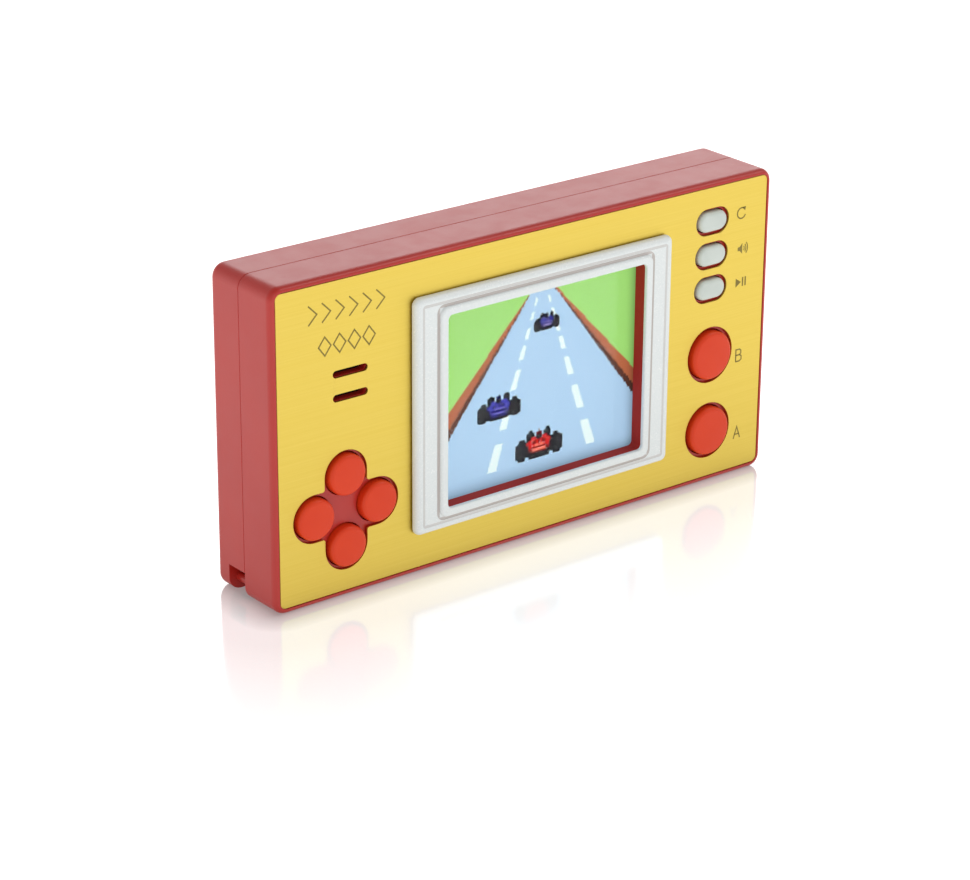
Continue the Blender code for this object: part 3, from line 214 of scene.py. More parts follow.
def joinedMesh(name, parts, world=inWorld):
    # the parts in one mesh, doubles merged and faces turned outwards
    starts = np.cumsum([0, *[len(points) for points, _ in parts[:-1]]])
    points = world(np.concatenate([np.asarray(points, float).reshape(-1, 3) for points, _ in parts]))
    faces = [[int(s) + i for i in face] for s, (_, part) in zip(starts, parts) for face in part]
    mesh = bpy.data.meshes.new(name)
    mesh.from_pydata(points.tolist(), [], faces)
    form = bmesh.new()
    form.from_mesh(mesh)
    bmesh.ops.remove_doubles(form, verts=form.verts, dist=3e-6)
    bmesh.ops.recalc_face_normals(form, faces=form.faces)
    form.to_mesh(mesh)
    form.free()
    return mesh


def carved(piece, tools):
    # takes each tool (operation, mesh) to the piece with an exact Boolean, and keeps the result
    helpers = []
    for number, (operation, mesh) in enumerate(tools):
        helper = bpy.data.objects.new(f"helper_{number}", mesh)
        bpy.context.scene.collection.objects.link(helper)
        modifier = piece.modifiers.new(f"cut_{number}", "BOOLEAN")
        modifier.operation, modifier.solver, modifier.object = operation, "EXACT", helper
        helpers.append(helper)
    bpy.context.view_layer.update()
    result = bpy.data.meshes.new_from_object(piece.evaluated_get(bpy.context.evaluated_depsgraph_get()))
    piece.modifiers.clear()
    piece.data = result
    for helper in helpers:
        bpy.data.objects.remove(helper)


def boxMesh(name, low, high):
    # eight corners between two (u, v, depth) points
    low, high = np.array(low, float), np.array(high, float)
    rows = [roundedRect(*(high - low)[:2] / 2, 0.0, (low + high)[:2] / 2, 1)] * 2
    return joinedMesh(name, [skin([lifted(rows[0], low[2]), lifted(rows[1], high[2])], capStart=True, capEnd=True)])


def recessShadeShare(points):
    # 1 on the walls round the display and inside the sound slots, where the red gets painted shade, 0 elsewhere; points
    # in mm
    u, depth, v = points[:, 0], points[:, 1] - frontY, points[:, 2]
    well = (abs(u - 1.9) < 23.9) & (abs(v - middle[1]) < 19.5) & (depth > -1.35) & (depth < 2.2)
    slot = (abs(u + 39.1) < 3.9) & (abs(abs(v - 38.4) - 2.1) < 1.1) & (depth > 0.95)
    return (well | slot).astype(float)


def grooveShadeShare(points):
    # 1 in the groove round the bezel's lip and a little in the valley beside its outer roll: the share of painted shade
    # on the lacquer
    u, depth, v = points[:, 0], points[:, 1] - frontY, points[:, 2]
    past = np.maximum(abs(u - 1.9) - 23.5, abs(v - middle[1]) - 19.1)
    inner = (past > -0.02) & (past < 0.62) & (depth < -1.2) & (depth > -1.49)
    left = np.minimum(28.5 - abs(u - 1.9), 21.5 - abs(v - middle[1]))
    outer = (left > 1.3) & (left < 1.8) & (depth > -1.50) & (depth < -1.3)
    return inner * 0.8 + outer * 0.45


def place(name, mesh, material, body, stands=(), tools=(), sharp=34, share=recessShadeShare):
    # shades the piece, puts its material on, and sets what it rides on and stands for
    mesh.name = name
    piece = bpy.data.objects.new(name, mesh)
    bpy.context.scene.collection.objects.link(piece)
    if tools:
        carved(piece, tools)
    # the share of painted shade (the display well, the sound slots, the bezel's grooves) goes into the attribute
    # "recess"
    points = np.empty(len(piece.data.vertices) * 3)
    piece.data.vertices.foreach_get("co", points)
    layer = piece.data.attributes.new("recess", "FLOAT", "POINT")
    layer.data.foreach_set("value", share(points.reshape(-1, 3) / mm))
    piece.data.materials.clear()
    piece.data.materials.append(material)
    piece.data.shade_smooth()
    piece.data.set_sharp_from_angle(angle=math.radians(sharp))
    even = piece.modifiers.new("even_shading", "WEIGHTED_NORMAL")
    even.keep_sharp = True
    even.weight = 100
    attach(piece, body)
    if stands:
        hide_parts(*stands)
    return piece


def linear(text):
    # sRGB hex to linear: c / 12.92 when small, else ((c + 0.055) / 1.055) ^ 2.4
    value = np.array([int(text[i : i + 2], 16) for i in (1, 3, 5)]) / 255
    value = np.where(value <= 0.04045, value / 12.92, ((value + 0.055) / 1.055) ** 2.4)
    return (*value.tolist(), 1.0)


def addNode(tree, kind, inputs=(), **settings):
    # a node with its settings; an input is a value, or another node's output to link
    node = tree.nodes.new(kind)
    for name, value in settings.items():
        setattr(node, name, value)
    for name, value in dict(inputs).items():
        socket = node.inputs[name]
        if isinstance(value, bpy.types.NodeSocket):
            tree.links.new(value, socket)
        else:
            socket.default_value = value
    return node


def startMaterial(name, **values):
    # a Principled surface with its constant values on its own sockets, and mm coordinates
    material = bpy.data.materials.new(name)
    material.use_nodes = True
    tree = material.node_tree
    shader = tree.nodes["Principled BSDF"]
    for key, value in values.items():
        shader.inputs[key].default_value = value
    coords = addNode(tree, "ShaderNodeTexCoord")
    millimetres = addNode(
        tree, "ShaderNodeMapping", {"Vector": coords.outputs["Object"], "Scale": (1000.0, 1000.0, 1000.0)}
    )
    return material, tree, shader, millimetres.outputs["Vector"]


def ramp(tree, factor, stops):
    # colour by position: stops are (place, hex)
    node = addNode(tree, "ShaderNodeValToRGB", {"Fac": factor})
    while len(node.color_ramp.elements) < len(stops):
        node.color_ramp.elements.new(0.5)
    for element, (where, colour) in zip(node.color_ramp.elements, stops):
        element.position, element.color = where, linear(colour)
    return node.outputs["Color"]


def spread(tree, factor, low, high, fromLow=0.35, fromHigh=0.65):
    # a noise value stretched onto the range low to high
    return addNode(
        tree,
        "ShaderNodeMapRange",
        {"Value": factor, "From Min": fromLow, "From Max": fromHigh, "To Min": low, "To Max": high},
    ).outputs["Result"]


def noise(tree, vector, size, detail=2.0):
    # noise whose patches are about `size` mm across
    return addNode(
        tree, "ShaderNodeTexNoise", {"Vector": vector, "Scale": 1.0 / size, "Detail": detail}
    ).outputs["Fac"]


def bump(tree, height, distance, strength=1.0, normal=None):
    inputs = {"Height": height, "Distance": distance * mm, "Strength": strength}
    if normal is not None:
        inputs["Normal"] = normal
    return addNode(tree, "ShaderNodeBump", inputs).outputs["Normal"]


def moulded(name, tones, roughness, grain, grainDepth, patch=14.0, shade=None, **values):
    # Moulded plastic. The eye sees an even colour with a slow cloudiness, a fine spark-eroded
    # grain from the mould, and gloss that varies a little from touch to touch.
    material, tree, shader, vector = startMaterial(name, **values)
    cloud = noise(tree, vector, patch, 3.0)
    colour = ramp(tree, cloud, [(0.3, tones[0]), (0.7, tones[1])])
    # painted shade: where the attribute "recess" is 1 the colour turns to the darker shade colour, and the roughness
    # rises there
    if shade:
        inside = addNode(tree, "ShaderNodeAttribute", attribute_name="recess").outputs["Fac"]
        colour = addNode(
            tree, "ShaderNodeMix", {"Factor": inside, 6: colour, 7: linear(shade)}, data_type="RGBA"
        ).outputs[2]
    tree.links.new(colour, shader.inputs["Base Color"])
    gloss = spread(tree, noise(tree, vector, patch / 4, 4.0), *roughness)
    if shade:
        matt = spread(tree, inside, 0.0, 0.5, 0.0, 1.0)
        gloss = addNode(tree, "ShaderNodeMath", {0: gloss, 1: matt}, operation="ADD").outputs["Value"]
    tree.links.new(gloss, shader.inputs["Roughness"])
    fine = noise(tree, vector, grain, 2.0)
    tree.links.new(bump(tree, fine, grainDepth), shader.inputs["Normal"])
    return material


def brushed(name, tones, roughness, lineGap, depth, run=26.0, **values):
    # Brushed metal under a clear anodised layer. The eye sees fine level hairlines, a few
    # millimetres to a few centimetres long, that light and darken the metal by a little.
    material, tree, shader, vector = startMaterial(name, Metallic=1.0, **values)
    lines = addNode(
        tree, "ShaderNodeMapping", {"Vector": vector, "Scale": (1 / run, 1.0, 1 / lineGap)}
    ).outputs["Vector"]
    hair = noise(tree, lines, 1.0, 3.0)
    wide = addNode(
        tree, "ShaderNodeMapping", {"Vector": vector, "Scale": (1 / run / 2, 1.0, 1 / lineGap / 6)}
    ).outputs["Vector"]
    band = noise(tree, wide, 1.0, 2.0)
    mixed = addNode(
        tree, "ShaderNodeMix", {"Factor": 0.35, "A": hair, "B": band}, data_type="FLOAT"
    ).outputs["Result"]
    tree.links.new(
        ramp(tree, mixed, [(0.3, tones[0]), (0.5, tones[1]), (0.7, tones[2])]), shader.inputs["Base Color"]
    )
    tree.links.new(spread(tree, mixed, *roughness), shader.inputs["Roughness"])
    tree.links.new(bump(tree, hair, depth), shader.inputs["Normal"])
    return material


def makeMaterials():
    made = {}
    # Red ABS, satin mould finish. Grain of 0.05 mm drawn at 0.3 mm so that it shows.
    # The walls round the display and inside the sound slots are painted the darker red #A51A0C as painted shade.
    made["red_abs"] = moulded(
        "moulded_red_abs", ("#B5231A", "#BA271D"), (0.33, 0.38), 0.30, 0.005, shade="#A51A0C", **{"IOR": 1.53}
    )
    # Gold anodised aluminium, brushed along its length. Hairlines of 0.05 mm drawn at 0.16 mm.
    made["brushed_gold"] = brushed(
        "brushed_gold_anodised_aluminium", ("#DCC057", "#E0C55C", "#E4CA62"), (0.38, 0.48), 0.16, 0.0015
    )
    # Silver-white lacquer with fine metal flake over ABS.
    made["silver_paint"] = flakeLacquer()
    made["orange_caps"] = moulded(
        "moulded_orange_abs_caps", ("#DC3A12", "#E03F16"), (0.38, 0.48), 0.25, 0.004, 6.0, **{"IOR": 1.5, "Specular IOR Level": 0.3}
    )
    made["grey_caps"] = moulded(
        "moulded_pale_grey_abs_caps", ("#C7CFC8", "#D1D8D1"), (0.40, 0.50), 0.25, 0.005, 4.0, **{"IOR": 1.5}
    )
    made["black_plastic"] = moulded(
        "moulded_black_nylon", ("#1C1C1D", "#262627"), (0.38, 0.52), 0.22, 0.008, 5.0, **{"IOR": 1.53}
    )
    made["white_plastic"] = moulded(
        "moulded_white_polycarbonate", ("#DEDDD6", "#E8E7E2"), (0.38, 0.5), 0.3, 0.004, 8.0, **{"IOR": 1.58}
    )
    made["silicone"] = moulded(
        "moulded_translucent_silicone", ("#B9B9B2", "#C6C6BF"), (0.55, 0.7), 0.35, 0.006, 5.0,
        **{"IOR": 1.41, "Subsurface Weight": 0.15, "Subsurface Scale": 0.0008},
    )
    made["epoxy"] = moulded(
        "cast_black_epoxy", ("#111113", "#1A1A1D"), (0.16, 0.3), 1.2, 0.02, 3.0, **{"IOR": 1.55}
    )
    made["ferrite"] = moulded(
        "sintered_ferrite", ("#3E3E40", "#4C4C4E"), (0.5, 0.65), 0.2, 0.012, 2.0, **{"IOR": 2.3}
    )
    made["paper_cone"] = moulded(
        "pressed_paper_cone", ("#2E2C2B", "#3B3937"), (0.75, 0.9), 0.35, 0.03, 2.0, **{"IOR": 1.5}
    )
    made["amber_film"] = moulded(
        "polyimide_film", ("#B87A1E", "#C98B2C"), (0.25, 0.4), 0.5, 0.004, 3.0, **{"IOR": 1.7}
    )
    made["red_wire"] = moulded(
        "extruded_red_pvc", ("#B01414", "#C42020"), (0.35, 0.5), 0.4, 0.006, 3.0, **{"IOR": 1.53}
    )
    made["black_wire"] = moulded(
        "extruded_black_pvc", ("#161616", "#222222"), (0.35, 0.5), 0.4, 0.006, 3.0, **{"IOR": 1.53}
    )
    # Zinc-plated steel: rolled, so its hairlines run one way under a dull plated bloom.
    made["steel"] = brushed("zinc_plated_steel", ("#A9A9A4", "#BABAB5", "#C9C9C5"), (0.24, 0.40), 0.2, 0.004, 6.0)
    made["board_green"] = boardMask()
    made["cell_jacket"] = cellJacket()
    made["clear_window"] = clearWindow()
    made["lcd_glass"] = litPicture()
    made["print"] = moulded(
        "screen_printed_olive_ink", ("#7E6C20", "#8C7A2C"), (0.5, 0.6), 0.2, 0.003, 2.0, **{"IOR": 1.5}
    )
    return made


def flakeLacquer():
    # Sprayed silver-white lacquer. The eye sees a cool white with pin-point flakes that catch
    # the light and a faint orange-peel from the spray. The grooves are painted a pinkish grey:
    # painted shade with a painted reflection of the red case.
    material, tree, shader, vector = startMaterial(
        "silver_white_flake_lacquer", **{"IOR": 1.5, "Metallic": 0.0, "Coat Weight": 0.25, "Coat Roughness": 0.12}
    )
    cells = addNode(tree, "ShaderNodeTexVoronoi", {"Vector": vector, "Scale": 1 / 0.18})
    tone = addNode(tree, "ShaderNodeSeparateColor", {"Color": cells.outputs["Color"]}).outputs["Red"]
    lacquer = ramp(tree, tone, [(0.0, "#E1E6E6"), (0.6, "#E4E9E8"), (0.95, "#E8ECEB"), (1.0, "#F3F5F4")])
    # painted shade and painted reflection: the groove share mixes in the pinkish grey #B8ACA6
    paintedGrooveShade = addNode(tree, "ShaderNodeAttribute", attribute_name="recess").outputs["Fac"]
    shaded = addNode(
        tree, "ShaderNodeMix", {"Factor": paintedGrooveShade, 6: lacquer, 7: linear("#B8ACA6")}, data_type="RGBA"
    ).outputs[2]
    tree.links.new(shaded, shader.inputs["Base Color"])
    tree.links.new(spread(tree, tone, 0.32, 0.42, 0.0, 1.0), shader.inputs["Roughness"])
    peel = noise(tree, vector, 0.9, 2.0)
    tree.links.new(bump(tree, peel, 0.006), shader.inputs["Normal"])
    return material


def boardMask():
    # Green solder mask over copper tracks: darker laminate, paler lines where copper lies below.
    material, tree, shader, vector = startMaterial("green_solder_mask_laminate", **{"IOR": 1.5})
    tracks = addNode(
        tree, "ShaderNodeTexBrick",
        {"Vector": vector, "Scale": 1.0, "Mortar Size": 0.18, "Brick Width": 5.0, "Row Height": 1.6,
         "Color1": linear("#0F5A2C"), "Color2": linear("#136434"), "Mortar": linear("#2B8A4C")},
    )
    turned = addNode(tree, "ShaderNodeMapping", {"Vector": vector, "Rotation": (math.pi / 2, 0.0, 0.0)})
    tree.links.new(turned.outputs["Vector"], tracks.inputs["Vector"])
    tree.links.new(tracks.outputs["Color"], shader.inputs["Base Color"])
    tree.links.new(spread(tree, noise(tree, vector, 2.0), 0.28, 0.4), shader.inputs["Roughness"])
    tree.links.new(bump(tree, tracks.outputs["Fac"], 0.03), shader.inputs["Normal"])
    return material


def cellJacket():
    # A shrink sleeve on an alkaline cell: a dark body, a copper band at the positive end and
    # thin rings at the sleeve's ends, under a clear gloss.
    material, tree, shader, vector = startMaterial(
        "printed_cell_sleeve", **{"IOR": 1.5, "Coat Weight": 0.5, "Coat Roughness": 0.08}
    )
    along = addNode(tree, "ShaderNodeSeparateXYZ", {"Vector": vector}).outputs["X"]
    share = spread(tree, along, 0.0, 1.0, -25.0, 25.0)
    tree.links.new(
        ramp(tree, share, [(0.0, "#9A9A98"), (0.06, "#1F2B3C"), (0.45, "#223149"), (0.94, "#1B2636"), (1.0, "#9A9A98")]),
        shader.inputs["Base Color"],
    )
    tree.links.new(spread(tree, noise(tree, vector, 3.0), 0.25, 0.4), shader.inputs["Roughness"])
    tree.links.new(bump(tree, noise(tree, vector, 1.5), 0.015), shader.inputs["Normal"])
    return material


def clearWindow():
    # Clear polycarbonate sheet: the eye sees through it, with a thin gloss and a trace of haze.
    material, tree, shader, vector = startMaterial(
        "clear_polycarbonate", **{"IOR": 1.58, "Specular IOR Level": 0.08, "Transmission Weight": 1.0, "Alpha": 0.03,
           "Base Color": linear("#F8FBFB")}
    )
    tree.links.new(spread(tree, noise(tree, vector, 6.0), 0.02, 0.05), shader.inputs["Roughness"])
    return material


def litPicture():
    # A lit colour display: each picture point has its own even colour, and the glass over it
    # keeps a soft gloss.
    material, tree, shader, vector = startMaterial(
        "lit_colour_display", **{"IOR": 1.5, "Specular IOR Level": 0.04, "Emission Strength": 0.80}
    )
    colour = addNode(tree, "ShaderNodeAttribute", attribute_name="picture").outputs["Color"]
    dim = addNode(tree, "ShaderNodeVectorMath", {0: colour, "Scale": 0.25}, operation="SCALE").outputs["Vector"]
    tree.links.new(dim, shader.inputs["Base Color"])
    tree.links.new(colour, shader.inputs["Emission Color"])
    tree.links.new(spread(tree, noise(tree, vector, 5.0), 0.25, 0.35), shader.inputs["Roughness"])
    return material


finish = makeMaterials()
print("materials made:", len(finish))


screen = {
    "spot": (1.9, case["halfHeight"]),
    "opening": (22.0, 17.6, 0.9),
    "collar": (22.8, 18.4, 1.7),
    "platform": (26.2, 19.8, 1.7),
    "window": (23.7, 19.3, 1.0),
    "module": (27.3, 20.8, 1.0),
    "collarFront": -1.3,
    "ledge": 1.2,
    "seat": 2.05,
}


def capSpots(*names):
    # the middle of each CAD cap on the face, and its half sizes without the flange
    found = {}
    for name in names:
        low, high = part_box(name)
        half = ((high.x - low.x) / 2 / mm - 0.7, (high.z - low.z) / 2 / mm - 0.7)
        found[name] = ((low.x + high.x) / 2 / mm, (low.z + high.z) / 2 / mm, *half, low.y / mm - frontY)
    return found


directionCaps = capSpots("button_up", "button_down", "button_left", "button_right")
actionCaps = capSpots("button_a", "button_b")
functionCaps = capSpots("button_reset", "button_sound", "button_play")
direction = (directionCaps["button_up"][0], directionCaps["button_left"][1])
speaker = {"spot": (-39.1, 38.4), "slot": (3.55, 0.65), "pitch": 4.25}
slotSpots = [(speaker["spot"][0], speaker["spot"][1] + row * speaker["pitch"]) for row in (-0.5, 0.5)]


def panelHoles(grow=0.0):
    # one (half u, half v, corner, spot) for each cap and each sound slot, grown by a clearance
    holes = []
    for name, (u, v, halfU, halfV, _) in {**directionCaps, **actionCaps, **functionCaps}.items():
        room = 0.2 + grow
        holes.append((halfU + room, halfV + room, min(halfU, halfV) + room, (u, v)))
    for spot in slotSpots:
        halfU, halfV = speaker["slot"]
        holes.append((halfU + grow, halfV + grow, halfV + grow, spot))
    return holes


def holeWall(hole, profile):
    # a profile of (growth, depth) carried round a hole's outline
    halfU, halfV, corner, spot = hole
    rows = [(halfU + grow, halfV + grow, corner + grow, depth) for grow, depth in profile]
    return skin(ringsOf(rows, spot))


def makeFrontCase():
    # the outer wall is one profile of (inset, depth) carried round the case; the panel is two
    # flat faces with the holes' walls between them
    halfU, halfV, corner, edge = case["halfWidth"], case["halfHeight"], case["corner"], case["edge"]
    front, back, rear, wall, rim = (case[k] for k in ("panelFront", "panelBack", "frontShell", "wall", "rim"))
    outer = softened(
        [(rim, front), (rim, 0.0), (0.0, 0.0), (0.0, rear), (wall, rear), (wall, back)],
        [0.10, case["frontFillet"], edge, 0.2],
        8,
        0.85,
    )
    parts = [skin(ringsOf(insetRows(outer, halfU, halfV, corner, 0.8), middle))]
    seat = softened(
        [
            (*screen["platform"], front),
            (*screen["platform"], 0.1),
            (*screen["collar"], 0.1),
            (*screen["collar"], screen["collarFront"]),
            (*screen["opening"], screen["collarFront"]),
            (*screen["opening"], screen["ledge"]),
            (*screen["window"], screen["ledge"]),
            (*screen["window"], screen["seat"]),
            (*screen["module"], screen["seat"]),
            (*screen["module"], back),
        ],
        [0.1, 0.1, 0.1, 0.05, 0.08, 0.1, 0.1, 0.1],
        4,
    )
    parts.append(skin(ringsOf(seat, screen["spot"])))
    lip = 0.12
    wallProfile = softened([(lip, front), (0.0, front), (0.0, back)], [lip], 4)
    parts += [holeWall(hole, wallProfile) for hole in panelHoles()]
    faceHoles = [roundedRect(*hole[:3], hole[3]) for hole in panelHoles(lip)]
    backHoles = [roundedRect(*hole[:3], hole[3]) for hole in panelHoles()]
    faceHoles.append(roundedRect(*screen["platform"], screen["spot"]))
    backHoles.append(roundedRect(*screen["module"], screen["spot"]))
    parts.append(flatFace([roundedRect(halfU - rim, halfV - rim, corner - rim, middle), *faceHoles], front))
    parts.append(flatFace([roundedRect(halfU - wall, halfV - wall, 0.8, middle), *backHoles], back))
    recess = sideSlot("finger_recess", 2.1, 7.4, halfU - 0.7, halfU + 1, 0.3)
    slot = sideSlot("knob_slot", 1.5, 3.8, halfU - 3.0, halfU + 1, 0.0)
    web = boxMesh("strap_web", (-halfU + 0.8, 0.8, rear - 1.0), (-halfU + 5.0, 6.0, rear - 0.1))
    tools = [("DIFFERENCE", recess), ("DIFFERENCE", slot), ("UNION", web)]
    mesh = joinedMesh("front_shell", parts)
    return place("front_shell", mesh, finish["red_abs"], "root", ["front_case"], tools)


knob = {"depth": 4.1, "height": 32.0}


def sideSlot(name, halfWidth, halfLength, start, end, flare):
    # a cutter through the right side: stadium outlines in (depth, v), one for each u, that widen
    # by the flare towards the outside
    u = np.array([start, case["halfWidth"] - 0.05, end])
    grow = np.array([0.0, flare, flare])
    rings = []
    for where, more in zip(u, grow):
        flat = roundedRect(halfWidth + more, halfLength + more, halfWidth + more, (knob["depth"], knob["height"]))
        rings.append(np.column_stack([np.full(len(flat), where), flat[:, 1], flat[:, 0]]))
    return joinedMesh(name, [skin(rings, capStart=True, capEnd=True)])


bay = {
    "room": (25.3, 16.0, 1.0),
    "outer": (26.9, 17.6, 1.0),
    "recess": (26.1, 16.8, 1.0),
    "floorFront": 4.4,
    "floorBack": 5.1,
    "ledge": 15.6,
}
screwSpots = [(-49.8, 52.8), (49.8, 52.8), (-46.0, 5.2), (49.8, 5.2)]


def makeRearCase():
    # the outer wall and the tongue are one profile; the battery bay and the four screw posts
    # are their own profiles between the two flat faces of the back
    halfU, halfV, corner, edge = case["halfWidth"], case["halfHeight"], case["corner"], case["edge"]
    start, back, inner = case["rearStart"], case["depth"], case["backInner"]
    fillet, gap = case["backFillet"], case["gap"]
    tongue, hollow = case["wall"] + gap, case["wall"] + gap + 0.8
    reach = start - 1.45
    outer = [(fillet + 0.1, back), (0.0, back), (0.0, start), (tongue, start)]
    profile = softened(
        [*outer, (tongue, reach), (hollow, reach), (hollow, inner)],
        [fillet, edge, 0.1, 0.15, 0.15],
        8,
    )
    parts = [skin(ringsOf(insetRows(profile, halfU, halfV, corner, 0.8), middle))]
    lip = 0.15
    recessGrown = tuple(size + lip for size in bay["recess"])
    well = softened(
        [
            (*recessGrown, back),
            (*bay["recess"], back),
            (*bay["recess"], bay["ledge"]),
            (*bay["room"], bay["ledge"]),
            (*bay["room"], bay["floorBack"]),
            (22.0, 13.0, 0.8, bay["floorBack"]),
        ],
        [lip, 0.15, 0.1, 0.5],
        5,
    )
    parts.append(skin(ringsOf(well, middle), capEnd=True))
    box = softened([(*bay["outer"], inner), (*bay["outer"], bay["floorFront"]), (22.0, 13.0, 0.8, bay["floorFront"])], [0.4])
    parts.append(skin(ringsOf(box, middle), capEnd=True))
    seat, bore, post, head = 2.2, 1.3, 3.1, 15.0
    stack = [(seat + lip, back), (seat, back), (seat, head), (bore, head), (bore, start + 0.3)]
    stack += [(post, start + 0.3), (post, inner)]
    screwProfile = softened(stack, [lip, 0.1, 0.05, 0.05, 0.1], 4)
    for spot in screwSpots:
        parts.append(skin(ringsOf([(r, r, r, d) for r, d in screwProfile], spot)))
    faceHoles = [roundedRect(seat + lip, seat + lip, seat + lip, spot) for spot in screwSpots]
    backHoles = [roundedRect(post, post, post, spot) for spot in screwSpots]
    faceOuter = insetRows([(fillet + 0.1, back)], halfU, halfV, corner, 0.8)[0]
    backOuter = insetRows([(hollow, inner)], halfU, halfV, corner, 0.8)[0]
    parts.append(flatFace([roundedRect(*faceOuter[:3], middle), roundedRect(*recessGrown, middle), *faceHoles], back))
    parts.append(flatFace([roundedRect(*backOuter[:3], middle), roundedRect(*bay["outer"], middle), *backHoles], inner))
    mesh = joinedMesh("rear_shell", parts)
    return place("rear_shell", mesh, finish["red_abs"], "root", ["rear_case"], rearTools())


def rearTools():
    # the strap pocket with its bar, the slots for the door's tabs and the contacts, the scoop
    left, start = -case["halfWidth"], case["rearStart"]
    pocket = boxMesh("pocket_box", (left + 0.8, 0.8, start), (left + 5.0, 6.0, start + 5.6))
    room = boxMesh("pocket_room", (left - 1, -1, start - 2.45), (left + 4.0, 5.0, start + 4.6))
    web = boxMesh("web_room", (left - 1, -1, start - 2.45), (left + 5.3, 6.3, start))
    barRows = [(0.8, 0.8, 0.8, start + 0.3), (0.8, 0.8, 0.8, start + 5.1)]
    bar = joinedMesh("bar", [skin(ringsOf(barRows, (left + 2.2, 2.25)), capStart=True, capEnd=True)])
    tools = [("UNION", pocket), ("DIFFERENCE", room), ("DIFFERENCE", web), ("UNION", bar)]
    for side in (-1, 1):
        v = middle[1] + side * 9.0
        low, high = (-bay["outer"][0] - 1, v - 2.8, 14.0), (-bay["room"][0] + 1, v + 2.8, 15.6)
        tools.append(("DIFFERENCE", boxMesh("tab_slot", low, high)))
    for side, v in ((-1, 39.55), (1, 18.45)):
        u = side * (bay["room"][0] + 0.8)
        tools.append(("DIFFERENCE", boxMesh("contact_slot", (u - 1.6, v - 1.3, 9.9), (u + 1.6, v + 1.3, 11.1))))
    scoopRows = [(1.9, 4.2, 1.9, 16.3), (2.2, 4.5, 2.2, 16.45), (2.2, 4.5, 2.2, 18.0)]
    scoop = joinedMesh("scoop", [skin(ringsOf(scoopRows, (bay["recess"][0], middle[1])), capStart=True, capEnd=True)])
    tools.append(("DIFFERENCE", scoop))
    return tools


makeFrontCase()
makeRearCase()
print("case made")


plate = {"inset": 1.12, "corner": 1.0, "front": 0.1, "back": 0.5, "bevel": 0.07}


def makePlate():
    # two flat faces, and the edge profile carried round the outside and round every hole
    front, back, bevel = plate["front"], plate["back"], plate["bevel"]
    spot, size = screen["spot"], tuple(value + 0.3 for value in screen["platform"][:2])
    holes = [lambda g: roundedRect(size[0] + g, size[1] + g, 1.0 + g, spot)]
    holes.append(lambda g: clover(4.35 + g, 10.85 + g, 0.45 - g, direction))
    for u, v, halfU, halfV, _ in actionCaps.values():
        holes.append(lambda g, u=u, v=v, r=halfU + 0.75: roundedRect(r + g, r + g, r + g, (u, v)))
    for u, v, halfU, halfV, _ in functionCaps.values():
        holes.append(lambda g, u=u, v=v, a=halfU + 0.65, b=halfV + 0.65: roundedRect(a + g, b + g, b + g, (u, v)))
    for at in slotSpots:
        holes.append(lambda g, at=at: roundedRect(3.55 + g, 0.65 + g, 0.65 + g, at))
    halfU, halfV = case["halfWidth"] - plate["inset"], case["halfHeight"] - plate["inset"]
    outside = lambda g: roundedRect(halfU - g, halfV - g, plate["corner"] - g * 0.9, middle)
    parts = []
    profile = [(bevel, front), (bevel * 0.3, front + bevel * 0.3), (0.0, front + bevel), (0.0, back)]
    for outline in [outside, *holes]:
        parts.append(skin([lifted(outline(grow), depth) for grow, depth in profile]))
    parts.append(flatFace([outside(bevel), *[hole(bevel) for hole in holes]], front))
    parts.append(flatFace([outside(0.0), *[hole(0.0) for hole in holes]], back))
    mesh = joinedMesh("face_plate", parts)
    return place("face_plate", mesh, finish["brushed_gold"], "root", ["front_plate"])


def makeBezel():
    # a closed profile of (half u, half v, corner, depth) carried round the opening
    halfU, halfV = screen["opening"][:2]
    outU, outV = halfU + 6.5, halfV + 3.9
    lipU, lipV = halfU + 1.5, halfV + 1.5
    loop = [
        (halfU, halfV, 0.9, -1.32),
        (halfU, halfV, 0.9, -2.0),
        (lipU, lipV, 1.6, -2.0),
        (lipU + 0.05, lipV + 0.05, 1.6, -1.36),
        (lipU + 0.40, lipV + 0.40, 1.6, -1.36),
        (lipU + 0.60, lipV + 0.60, 1.6, -1.5),
        (outU - 1.95, outV - 1.75, 0.5, -1.5),
        (outU - 1.65, outV - 1.5, 0.5, -1.43),
        (outU - 1.35, outV - 1.25, 0.6, -1.54),
        (outU, outV, 1.2, -1.54),
        (outU, outV, 1.3, -0.2),
        (halfU + 1.1, halfV + 1.1, 1.8, -0.2),
        (halfU + 1.1, halfV + 1.1, 1.8, -1.2),
        (halfU, halfV, 0.9, -1.32),
    ]
    rows = softened(loop, [0.28, 0.45, 0.15, 0.15, 0.1, 0.3, 0.2, 0.4, 1.05, 0.08, 0.1, 0.1], 6, 0.8)
    mesh = joinedMesh("bezel", [skin(ringsOf(rows, screen["spot"], 14))])
    paint = finish["silver_paint"]
    return place("bezel", mesh, paint, "root", ["screen_bezel"], share=grooveShadeShare)


makePlate()
makeBezel()
print("plate and bezel made")


picture = {"cell": 0.275, "half": (24.6, 19.4), "front": 2.3, "back": 3.2}


